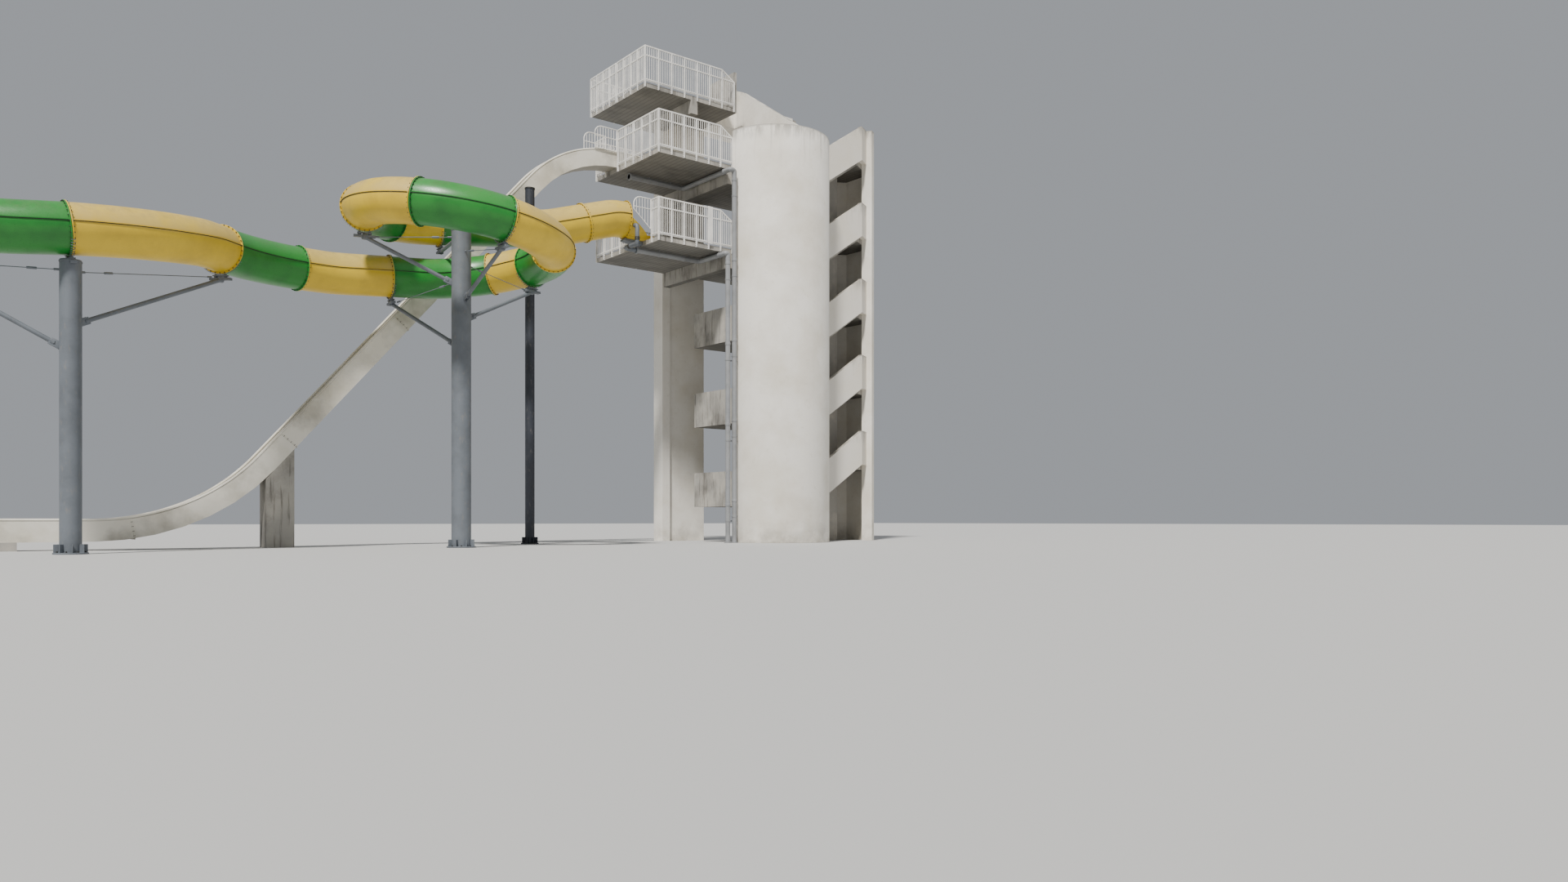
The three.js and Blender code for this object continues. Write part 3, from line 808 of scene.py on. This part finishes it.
@dataclass
class TubePath:
    """The tube's axis: its plan legs and its height by distance run, as in the solids."""

    start: tuple[float, float] = (-0.3, 1.2)
    heading: float = 174.0
    legs: tuple[Straight | Turn, ...] = (Straight(6.9), Turn(2.7, 360.0), Straight(2.5), Turn(5.0, 52.0),
                                         Turn(5.5, -74.0), Straight(0.9))
    fall: tuple[tuple[float, float], ...] = (
        (-1.5, 11.39), (0.8, 11.39), (3.2, 10.66), (7.4, 10.19), (12.2, 9.72), (17.2, 9.11), (21.3, 8.89),
        (24.0, 8.51), (27.0, 8.32), (31.5, 8.24), (36.0, 7.7), (40.0, 7.48))
    joints: tuple[float, ...] = (0.33, 1.89, 3.67, 6.85, 8.55, 10.7, 13.48, 15.83, 18.73, 20.62, 22.12,
                                 25.31, 28.03, 30.75, 34.98, 38.2)

    def plan(self, distance: float) -> tuple[float, float]:
        """Plan place at a distance run.

        Args:
            distance: metres along the plan from the start.

        Returns:
            x and y.
        """
        heading = math.radians(self.heading)
        x, y = self.start
        left = distance
        for leg in self.legs:
            if isinstance(leg, Straight):
                run = min(left, leg.length)
                x, y = x + run * math.cos(heading), y + run * math.sin(heading)
            else:
                side = math.copysign(1.0, leg.degrees)
                run = min(left, leg.radius * abs(math.radians(leg.degrees)))
                swept = heading + side * run / leg.radius
                x += side * leg.radius * (math.sin(swept) - math.sin(heading))
                y -= side * leg.radius * (math.cos(swept) - math.cos(heading))
                heading = swept
            left -= run
            if left <= 0:
                return x, y
        return x + left * math.cos(heading), y + left * math.sin(heading)

    def raw_height(self, distance: float) -> float:
        """Height at a distance run, straight between the set-out points."""
        for (a, za), (b, zb) in zip(self.fall, self.fall[1:]):
            if distance < b:
                return za + (zb - za) * (distance - a) / (b - a)
        return self.fall[-1][1]

    def height(self, distance: float) -> float:
        """Height of the axis at a distance run, its corners rounded as in the solids."""
        around = (-0.2, -0.1, 0.0, 0.1, 0.2)
        return sum(self.raw_height(distance + step) for step in around) / len(around)

    def point(self, distance: float) -> Vector:
        """Axis point at a distance run."""
        return Vector((*self.plan(distance), self.height(distance)))

    def line(self, start: float, end: float, step: float = 0.06) -> list[Vector]:
        """Axis points between two distances.

        Args:
            start: distance of the first point.
            end: distance of the last point.
            step: about how far apart they are.

        Returns:
            The points in order.
        """
        count = max(2, round((end - start) / step))
        return [self.point(start + (end - start) * i / count) for i in range(count + 1)]

    def frame_at(self, distance: float) -> Matrix:
        """Axes at a distance run: x along, y to the left, z up.

        Args:
            distance: where.

        Returns:
            The 4 by 4 placing matrix.
        """
        along = (self.point(distance + 0.1) - self.point(distance - 0.1)).normalized()
        left = Vector((-along.y, along.x, 0.0)).normalized()
        up = along.cross(left)
        place = Matrix((along, left, up)).transposed().to_4x4()
        place.translation = self.point(distance)
        return place


@dataclass
class TubeSlide:
    """The enclosed slide: bolted sections of two half shells each."""

    path: TubePath
    radius: float = 0.628
    flange: float = 0.678
    skin: float = 0.014
    rim: float = 0.026
    bolts: int = 30
    sides: int = 48

    def shell(self, length: float) -> bpy.types.Object:
        """A straight thin tube along +X, cut into short rings.

        Args:
            length: its length.

        Returns:
            The shell.
        """
        bpy.ops.mesh.primitive_cylinder_add(
            vertices=self.sides, radius=self.radius, depth=length, end_fill_type="NOTHING",
            location=(length / 2, 0.0, 0.0), rotation=(0.0, math.pi / 2, 0.0))
        tube = settle(bpy.context.object)
        self.slice_along(tube, length)
        return apply(tube, "SOLIDIFY", thickness=self.skin, offset=-1.0, use_rim=True)

    def slice_along(self, piece: bpy.types.Object, length: float, step: float = 0.16) -> None:
        """Cut a straight piece across at even steps, so that it can bend."""
        select(piece)
        bpy.ops.object.mode_set(mode="EDIT")
        count = max(2, round(length / step))
        for i in range(1, count):
            bpy.ops.mesh.select_all(action="SELECT")
            bpy.ops.mesh.bisect(plane_co=(length * i / count, 0.0, 0.0), plane_no=(1.0, 0.0, 0.0))
        bpy.ops.object.mode_set(mode="OBJECT")

    def ring(self, x: float) -> bpy.types.Object:
        """A flange ring, with its middle at x."""
        bpy.ops.mesh.primitive_cylinder_add(
            vertices=self.sides, radius=self.flange, depth=self.rim, end_fill_type="NOTHING",
            location=(x, 0.0, 0.0), rotation=(0.0, math.pi / 2, 0.0))
        ring = settle(bpy.context.object)
        apply(ring, "SOLIDIFY", thickness=self.flange - self.radius + 0.006, offset=-1.0, use_rim=True)
        return bevel(ring, 0.005)

    def bolt_circle(self, x: float, way: float) -> bpy.types.Object:
        """Bolt heads round a flange, on the side that faces its own section."""
        face = x + way * self.rim / 2
        reach = (self.radius + self.flange) / 2 + 0.004
        head = rod((face, 0.0, reach), (face + way * 0.022, 0.0, reach), 0.016, 6)
        return spin(head, self.bolts, 2 * math.pi, (0.0, 0.0, 0.0), (1.0, 0.0, 0.0), copies=True)

    def seams(self, length: float) -> bpy.types.Object:
        """The bolted lips where the two half shells meet, one on each side."""
        lips = []
        for side in (-1.0, 1.0):
            a, b = sorted((side * (self.radius - 0.004), side * (self.radius + 0.02)))
            lip = block((self.rim, a, 0.085), (length - self.rim, b, 0.103))
            self.slice_along(lip, length)
            lips.append(lip)
        return join(lips)

    def seam_shadow_and_dirt(self, length: float) -> bpy.types.Object:
        """Dark strips under the two lips: painted shadow of the lips, with dirt in the seam."""
        lines = []
        for side in (-1.0, 1.0):
            a, b = sorted((side * (self.radius - 0.004), side * (self.radius + 0.011)))
            line = block((self.rim, a, 0.068), (length - self.rim, b, 0.085))
            self.slice_along(line, length)
            lines.append(line)
        return join(lines)

    def section(self, index: int, colour: bpy.types.Material, dark: bpy.types.Material) -> None:
        """Build one section straight, then bend it onto the path.

        Args:
            index: the section's number, from 1.
            colour: its laminate.
            dark: finish of its bolts and of the painted seam shadow.
        """
        start, end = self.path.joints[index - 1], self.path.joints[index] - 0.0003
        line = self.path.line(start, end)
        length = sum((b - a).length for a, b in zip(line, line[1:]))
        low, high = self.rim / 2, length - self.rim / 2
        body = join([self.shell(length), self.ring(low), self.ring(high), self.seams(length)])
        paint(smooth(bend(body, line), 30.0), colour)
        fit(body, f"tube_section_{index}", [f"tube_{index}"])
        # The seam strips carry the dark bolt finish as painted shadow under the lips, with dirt.
        heads = join([self.bolt_circle(low, 1.0), self.bolt_circle(high, -1.0), self.seam_shadow_and_dirt(length)])
        fit(paint(bend(heads, line), dark), f"tube_bolts_{index}")

    def build(self, yellow: bpy.types.Material, green: bpy.types.Material, dark: bpy.types.Material) -> None:
        """Build every section.

        Args:
            yellow: the yellow laminate.
            green: the green laminate.
            dark: finish of the bolts and of the painted seam shadow.
        """
        greens = {3, 5, 7, 9, 11, 13, 15}
        for index in range(1, len(self.path.joints)):
            is_green = index in greens
            self.section(index, green if is_green else yellow, dark)


@dataclass
class SlideColumn:
    """A steel column with arms that carry the tube's joints."""

    name: str
    path: TubePath
    place: tuple[float, float]
    radius: float
    top: float
    arms: tuple[tuple[int, float], ...]
    tied: bool = True
    sides: int = 56
    foot_width: float = 0.14
    foot_ribs: int = 8

    def cradle(self, joint: int) -> list[bpy.types.Object]:
        """A strap under a joint, on two stubs and a short beam.

        Args:
            joint: index of the joint.

        Returns:
            The cradle's parts.
        """
        strap = block((-0.05, -0.006, -0.7), (0.05, 0.006, -0.688))
        turned = Matrix.Rotation(math.radians(-58), 4, "X")
        strap.data.transform(turned)
        spin(strap, 20, math.radians(116), (0.0, 0.0, 0.0), (1.0, 0.0, 0.0))
        parts = [strap, bevel(block((-0.07, -0.3, -0.86), (0.07, 0.3, -0.79)), 0.006),
                 block((-0.07, -0.2, -0.745), (0.07, 0.2, -SEAT_DROP))]
        for y in (-0.14, 0.14):
            parts.append(rod((0.0, y, -0.8), (0.0, y, -0.68), 0.035, 12))
            parts.append(rod((0.0, y, -0.775), (0.0, y, -0.745), 0.055, 6))
        place = self.path.frame_at(self.path.joints[joint])
        for part in parts:
            part.data.transform(place)
        return parts

    def arm(self, joint: int, z: float) -> list[bpy.types.Object]:
        """One arm from the column to its cradle, with its end plates.

        Args:
            joint: index of the joint.
            z: height where it leaves the column.

        Returns:
            The arm's parts.
        """
        foot = Vector((*self.place, z))
        head = self.path.frame_at(self.path.joints[joint]) @ Vector((0.0, 0.0, -0.84))
        flat = Vector((head.x - foot.x, head.y - foot.y, 0.0))
        if flat.length < self.radius:
            return []
        flat.normalize()
        root = foot + flat * (self.radius - 0.02)
        way = (head - root).normalized()
        parts = [rod(root + way * 0.16, head, 0.058, 20), rod(root + way * 0.13, root + way * 0.2, 0.075, 20)]
        side = Vector((-flat.y, flat.x, 0.0))
        for shift in (-0.045, 0.045):
            lug = bevel(block((-0.02, shift - 0.009, -0.09), (0.24, shift + 0.009, 0.09)), 0.03, 2)
            turn = Matrix((way, side, way.cross(side))).transposed().to_4x4()
            turn.translation = root
            lug.data.transform(turn)
            parts.append(lug)
        parts.append(rod(root + way * 0.14 - side * 0.075, root + way * 0.14 + side * 0.075, 0.022, 10))
        parts.append(bevel(block((-0.075, -0.075, -0.075), (0.075, 0.075, 0.075)), 0.03, 2))
        parts[-1].data.transform(Matrix.Translation(head))
        return parts

    def tie(self, joint: int) -> list[bpy.types.Object]:
        """A thin rod from the column's head to a cradle, with its turnbuckle.

        Args:
            joint: index of the joint.

        Returns:
            The tie's parts.
        """
        head = self.path.frame_at(self.path.joints[joint]) @ Vector((0.0, 0.0, -0.82))
        level = min(self.top - 0.25, head.z + 0.35)
        flat = Vector((head.x - self.place[0], head.y - self.place[1], 0.0))
        if flat.length < 1.2:
            return []
        root = Vector((*self.place, level)) + flat.normalized() * (self.radius - 0.01)
        end = head - flat.normalized() * 0.28
        way = end - root
        unit = way.normalized()
        turnbuckle = root + way * 0.17
        return [rod(root, end, 0.011, 8), rod(turnbuckle, turnbuckle + unit * 0.2, 0.032, 8),
                rod(root, root + unit * 0.12, 0.03, 8), rod(end - unit * 0.12, end, 0.026, 8)]

    def build(self, steel: bpy.types.Material, bolts: bpy.types.Material) -> None:
        """Build the column, its arms and ties.

        Args:
            steel: its finish.
            bolts: the foot bolts' finish.
        """
        x, y = self.place
        at, step = Matrix.Translation((x, y, 0.0)), math.tau / self.foot_ribs
        shaft = bevel(rod((x, y, 0.0), (x, y, self.top), self.radius, self.sides), 0.01)
        foot = bevel(rod((x, y, 0.0), (x, y, 0.04), self.radius + self.foot_width, self.sides), 0.006)
        collar = rod((x, y, self.top - 0.06), (x, y, self.top - 0.03), self.radius + 0.012, self.sides)
        parts = [shaft, foot, bevel(collar, 0.004)]
        for i in range(self.foot_ribs):
            rib = bevel(block((self.radius - 0.01, -0.008, 0.03), (self.radius + 0.12, 0.008, 0.24)), 0.003)
            rib.data.transform(at @ Matrix.Rotation(step * i, 4, "Z"))
            parts.append(rib)
        for joint, z in self.arms:
            parts += self.cradle(joint) + self.arm(joint, z)
            if self.tied:
                parts += self.tie(joint)
        fit(paint(smooth(join(parts)), steel), f"{self.name}_dressed", [self.name])
        nut = rod((x + self.radius + 0.08, y, 0.03), (x + self.radius + 0.08, y, 0.075), 0.022, 6)
        nut.data.transform(at @ Matrix.Rotation(step / 2, 4, "Z") @ at.inverted())
        ring = spin(nut, self.foot_ribs, math.tau, (x, y, 0.0), (0.0, 0.0, 1.0), copies=True)
        fit(paint(ring, bolts), f"{self.name}_foot_bolts")


@dataclass
class TubFeed:
    """The branch that brings water up beside the tube's start tub."""

    run_z: float = LEVELS[0] - SLAB - 0.13
    run_y: float = 1.3
    x: float = -0.6
    y: float = 0.45
    top: float = 11.07
    radius: float = 0.075

    def build(self, steel: bpy.types.Material, dark: bpy.types.Material) -> None:
        """Build the branch with its elbows and coupling.

        Args:
            steel: its finish.
            dark: finish of the coupling.
        """
        x, y, z, top = self.x, self.y, self.run_z, self.top
        line = [(-0.13, self.run_y, z), (x + 0.12, self.run_y, z), (x + 0.04, self.run_y - 0.02, z),
                (x, self.run_y - 0.12, z), (x, y + 0.11, z), (x, y + 0.03, z + 0.02), (x, y, z + 0.1),
                (x, y, top - 0.09), (x, y + 0.02, top - 0.03), (x, y + 0.08, top), (x, y + 0.16, top)]
        pipe = smooth(paint(route(line, self.radius, 6), steel))
        fit(pipe, "tub_feed_pipe")
        wide = self.radius + 0.014
        couplings = [bevel(rod((x, y, z + 0.12), (x, y, z + 0.24), wide, 24), 0.008),
                     bevel(rod((x, y + 0.45, z), (x, y + 0.55, z), wide, 24), 0.008)]
        fit(smooth(paint(join(couplings), dark)), "tub_feed_couplings")


@dataclass
class PipeRun:
    """A water pipe: a riser beside the round wall and a run under a platform's slab."""

    name: str
    level: float
    x: float
    back: float
    turn: float
    end: float
    y: float = -0.35
    radius: float = 0.088
    drop: float = 0.13
    wall: float = 3.178
    length: float = 2.9
    first: float = 0.35
    clip_drop: float = 0.6

    def corner(self, at: Vector, before: Vector, after: Vector, radius: float = 0.16) -> list[Vector]:
        """Round a corner of the run.

        Args:
            at: the corner.
            before: the point before it.
            after: the point after it.
            radius: bend radius.

        Returns:
            Points round the bend.
        """
        reach = min(radius, (before - at).length * 0.45, (after - at).length * 0.45)
        a, b = at + (before - at).normalized() * reach, at + (after - at).normalized() * reach
        return [a.lerp(at, t).lerp(at.lerp(b, t), t) for t in (i / 8 for i in range(9))]

    def build(self, steel: bpy.types.Material) -> None:
        """Build the pipe with its couplings, hangers and wall clips.

        Args:
            steel: its finish.
        """
        z = self.level - SLAB - self.drop
        knots = [Vector((self.x, self.y, 0.0)), Vector((self.x, self.y, z)), Vector((self.back, self.y, z)),
                 Vector((self.back, self.turn, z)), Vector((self.end, self.turn, z))]
        line = [knots[0]]
        for before, at, after in zip(knots, knots[1:], knots[2:]):
            line += self.corner(at, before, after)
        line.append(knots[-1])
        parts = [route(line, self.radius, 6)]
        wide = self.radius + 0.012
        for i in range(round(z / self.length)):
            at = z - self.first - self.length * i
            parts.append(bevel(rod((self.x, self.y, at - 0.05), (self.x, self.y, at + 0.05), wide, 24), 0.01))
            clip = at - self.clip_drop
            parts.append(block((self.x - 0.05, self.y + 0.09, clip), (self.wall, self.y + 0.11, clip + 0.04)))
            parts.append(rod((self.x, self.y, clip), (self.x, self.y, clip + 0.04), wide, 24))
        parts.append(rod((self.back, self.y + 0.3, z), (self.back, self.y + 0.4, z), wide, 24))
        parts.append(rod((self.end, self.turn, z), (self.end + 0.05, self.turn, z), wide + 0.03, 24))
        for at in (0.35, 0.75):
            x = self.end + (self.back - self.end) * at
            parts.append(rod((x - 0.02, self.turn, z), (x + 0.02, self.turn, z), wide, 24))
            for y in (self.turn - 0.07, self.turn + 0.07):
                parts.append(rod((x, y, z), (x, y, self.level - SLAB), 0.007, 6))
        parts.append(bevel(rod((self.x, self.y, 0.0), (self.x, self.y, 0.03), self.radius + 0.05, 24), 0.004))
        fit(paint(smooth(join(parts)), steel), f"{self.name}_dressed", [self.name])


# The drop slide


@dataclass
class DropSlide:
    """The open steep slide: the solids hold its bed and sides, and this adds lips, ribs and joints."""

    nodes: dict[str, bpy.types.Object]
    y0: float = 2.83
    y1: float = 3.56
    crest: float = 4.1
    angle: float = math.radians(49)
    dip: float = 6.0
    low: float = 0.35
    run_out: float = 4.0
    head: float = 1.2
    floor: float = 0.12
    height: float = 0.5
    bends: int = 28
    joints: int = 5
    joint_start: float = 1.4
    joint_gap: float = 5.2

    def line(self, offset: float) -> list[tuple[float, float]]:
        """The slide's side line at a height above its bed.

        Args:
            offset: height above the bed, square to it.

        Returns:
            Points in x and z from the top.
        """
        z0 = LEVELS[1] + self.floor + 0.0003
        x1, z1 = self.crest * math.sin(self.angle), z0 - self.crest * (1 - math.cos(self.angle))
        dip_z = self.low + self.dip * (1 - math.cos(self.angle))
        far = x1 + (z1 - dip_z) / math.tan(self.angle) + self.dip * math.sin(self.angle)
        points = [(self.head, z0 + offset)]
        for i in range(self.bends + 1):
            turn = self.angle * i / self.bends
            points.append((-(self.crest + offset) * math.sin(turn),
                           z0 - self.crest + (self.crest + offset) * math.cos(turn)))
        for i in range(self.bends + 1):
            turn = self.angle * (1 - i / self.bends)
            points.append((-far + (self.dip - offset) * math.sin(turn),
                           self.low + self.dip - (self.dip - offset) * math.cos(turn)))
        points.append((-far - self.run_out, self.low + offset))
        return points

    def build(self, coat: bpy.types.Material, bolts: bpy.types.Material) -> None:
        """Dress the solids and add the lips and ribs.

        Args:
            coat: the slide's laminate.
            bolts: finish of the joints' bolts.
        """
        for name in ("drop_slide_upper", "drop_slide_lower"):
            paint(self.nodes[name], coat)
        lips = []
        for y in (self.y0 + 0.03, self.y1 - 0.03):
            lips.append(route([(x, y, z) for x, z in self.line(self.height - 0.03)], 0.042, 4))
        fit(paint(smooth(join(lips)), coat), "drop_slide_lips")
        low, high = self.line(-self.floor), self.line(self.height)
        lengths = [0.0]
        for a, b in zip(low, low[1:]):
            lengths.append(lengths[-1] + math.dist(a, b))
        ribs, heads = [], []
        for k in range(1, self.joints + 1):
            at = self.joint_start + self.joint_gap * k
            i = next((n for n, run in enumerate(lengths) if run > at), None)
            if i is None:
                break
            share = (at - lengths[i - 1]) / (lengths[i] - lengths[i - 1])
            a = Vector(low[i - 1]).lerp(Vector(low[i]), share)
            b = Vector(high[i - 1]).lerp(Vector(high[i]), share)
            ribs += self.rib(a, (b - a).normalized())
            heads += self.rib_bolts(a, (b - a).normalized())
        fit(paint(smooth(join(ribs)), coat), "drop_slide_joints")
        fit(paint(join(heads), bolts), "drop_slide_bolts")

    @staticmethod
    def joint_place(foot: Vector, up: Vector) -> Matrix:
        """The placing matrix of a joint, from its foot and the way square to the bed."""
        return Matrix(((up.y, 0.0, up.x, foot.x), (0.0, 1.0, 0.0, 0.0),
                       (-up.x, 0.0, up.y, foot.y), (0.0, 0.0, 0.0, 1.0)))

    def rib(self, foot: Vector, up: Vector) -> list[bpy.types.Object]:
        """A bolted joint's U-shaped flange.

        Args:
            foot: x and z of its foot, under the bed.
            up: x and z direction, square to the bed.

        Returns:
            Its three plates.
        """
        place = self.joint_place(foot, up)
        plates = [block((-0.014, self.y0 - 0.01, -0.03), (0.014, self.y1 + 0.01, 0.03)),
                  block((-0.014, self.y0 - 0.01, 0.0), (0.014, self.y0 + 0.005, 0.55)),
                  block((-0.014, self.y1 - 0.005, 0.0), (0.014, self.y1 + 0.01, 0.55))]
        for plate in plates:
            bevel(plate, 0.003)
            plate.data.transform(place)
        return plates

    def rib_bolts(self, foot: Vector, up: Vector) -> list[bpy.types.Object]:
        """Bolts up both sides of a joint."""
        place = self.joint_place(foot, up)
        heads = []
        for y in (self.y0 - 0.005, self.y1 + 0.005):
            head = rod((-0.024, y, 0.08), (0.024, y, 0.08), 0.009, 6)
            repeat(head, 4, (0.0, 0.0, 0.13)).data.transform(place)
            heads.append(head)
        return heads


# Studio


@dataclass(frozen=True)
class Studio:
    """Pale floor, soft light and the camera at the photograph's place."""

    eye: Point = (-20.53, -32.26, 0.82)
    aim: tuple[float, float] = (0.629, 0.777)
    lens: float = 25.125
    rise: float = 0.0505

    def build(self) -> None:
        """Lay the floor, hang the lights and set the camera."""
        bpy.ops.mesh.primitive_plane_add(size=400.0, location=(0.0, 0.0, -0.002))
        floor = bpy.context.object
        floor.name = "studio_floor"
        pale = bpy.data.materials.new("studio_floor")
        pale.use_nodes = True
        shader = pale.node_tree.nodes["Principled BSDF"]
        shader.inputs["Base Color"].default_value = (0.5, 0.5, 0.49, 1.0)
        shader.inputs["Roughness"].default_value = 0.9
        floor.data.materials.append(pale)
        world = bpy.context.scene.world or bpy.data.worlds.new("studio")
        bpy.context.scene.world = world
        world.use_nodes = True
        backdrop = world.node_tree.nodes["Background"]
        backdrop.inputs["Color"].default_value = (0.86, 0.9, 0.96, 1.0)
        backdrop.inputs["Strength"].default_value = 0.4
        self.lamp("key", (-27.0, -21.0, 46.0), 5.2, 6.0)
        self.lamp("fill", (34.0, -30.0, 26.0), 0.15, 40.0)
        self.camera()

    def lamp(self, name: str, source: Point, strength: float, spread: float) -> None:
        """Hang a distant soft light aimed at the tower.

        Args:
            name: its name.
            source: where it shines from.
            strength: its strength.
            spread: how wide it is, in degrees.
        """
        turn = (-Vector(source)).to_track_quat("-Z", "Y").to_euler()
        bpy.ops.object.light_add(type="SUN", location=source, rotation=turn)
        light = bpy.context.object
        light.name = name
        light.data.energy = strength
        light.data.angle = math.radians(spread)
        light.data.color = (1.0, 0.97, 0.93)

    def camera(self) -> None:
        """Set the camera level, with the photograph's framing as shift."""
        heading = math.atan2(self.aim[1], self.aim[0])
        bpy.ops.object.camera_add(location=Vector(self.eye) + SET_OUT,
                                  rotation=(math.pi / 2, 0.0, heading - math.pi / 2))
        camera = bpy.context.object
        camera.data.lens = self.lens
        camera.data.sensor_width = 36.0
        camera.data.shift_y = self.rise
        camera.data.clip_end = 1000.0
        bpy.context.scene.camera = camera


def main() -> None:
    """Build and dress the whole tower."""
    logging.basicConfig(level=logging.INFO, format="%(name)s: %(message)s")
    deselect()
    nodes = frame["nodes"]
    steel = PaintedSteel("grey_steel", 0x6C7279, 0.12, (0.45, 0.6), 0.1).build()
    slate = PaintedSteel("slate_steel", 0x32363F, 0.12, (0.45, 0.6), 0.1).build()
    galvanised = PaintedSteel("pale_pipe", 0x929496, 0.15, (0.5, 0.7), 0.1).build()
    # This dark finish serves the bolts and also paints the shadow under the tube's seam lips.
    bolts = PaintedSteel("dark_bolts_and_seam_shadow", 0x3A3A38, 0.5, (0.5, 0.7), 0.3).build()
    white = PaintedSteel("white_railing", 0xF1EFEA, 0.22).build()
    yellow = Laminate("yellow_laminate", 0xDDBB2C, 0xC8B06C, 0xC7A62C, 0.7).build()
    green = Laminate("green_laminate", 0x23812E, 0x4E9A52, 0x1B6A27, 0.35, (0.25, 0.45)).build()
    coat = DropLaminate().build()
    Tower(nodes).build(BareConcrete().build())
    RoundWall().build(RenderCoat("round_wall_render", ROUND_TOP, 1.6).build())
    Railings(nodes).build(white, bolts)
    path = TubePath()
    TubeSlide(path).build(yellow, green, bolts)
    approach, loop = path.legs[:2]
    x, y = path.plan(approach.length)
    turn = math.radians(path.heading + 90)
    centre = (x + loop.radius * math.cos(turn), y + loop.radius * math.sin(turn))
    SlideColumn("loop_column", path, centre, 0.285, 9.5,
                ((3, 9.35), (5, 7.9), (7, 7.4), (9, 6.9), (11, 6.1))).build(steel, bolts)
    mast = SlideColumn("start_mast", path, (-3.64, 2.5), 0.16, 12.25, ((2, 9.7),), tied=False)
    mast.build(slate, bolts)
    head = path.frame_at(path.joints[14]) @ Vector((0.0, 0.0, -SEAT_DROP))
    SlideColumn("run_column", path, (head.x, head.y), 0.235, head.z - 0.03,
                ((14, head.z - 0.2), (13, 5.6), (15, 5.0))).build(steel, bolts)
    PipeRun("water_pipe_1", LEVELS[0], 2.7, 2.6, 1.3, -0.15).build(galvanised)
    PipeRun("water_pipe_2", LEVELS[1], 2.99, 2.8, 2.68, 0.4).build(galvanised)
    TubFeed().build(steel, bolts)
    cap = rod((*mast.place, mast.top - 0.05), (*mast.place, mast.top - 0.002), mast.radius + 0.015, 32)
    cap = bevel(cap, 0.006)
    fit(paint(smooth(cap), bolts), "start_mast_cap")
    paint(nodes["tube_start_tub"], yellow)
    paint(nodes["tube_start_bracket"], steel)
    DropSlide(nodes).build(coat, bolts)
    Studio().build()


if __name__ == "__main__":
    main()
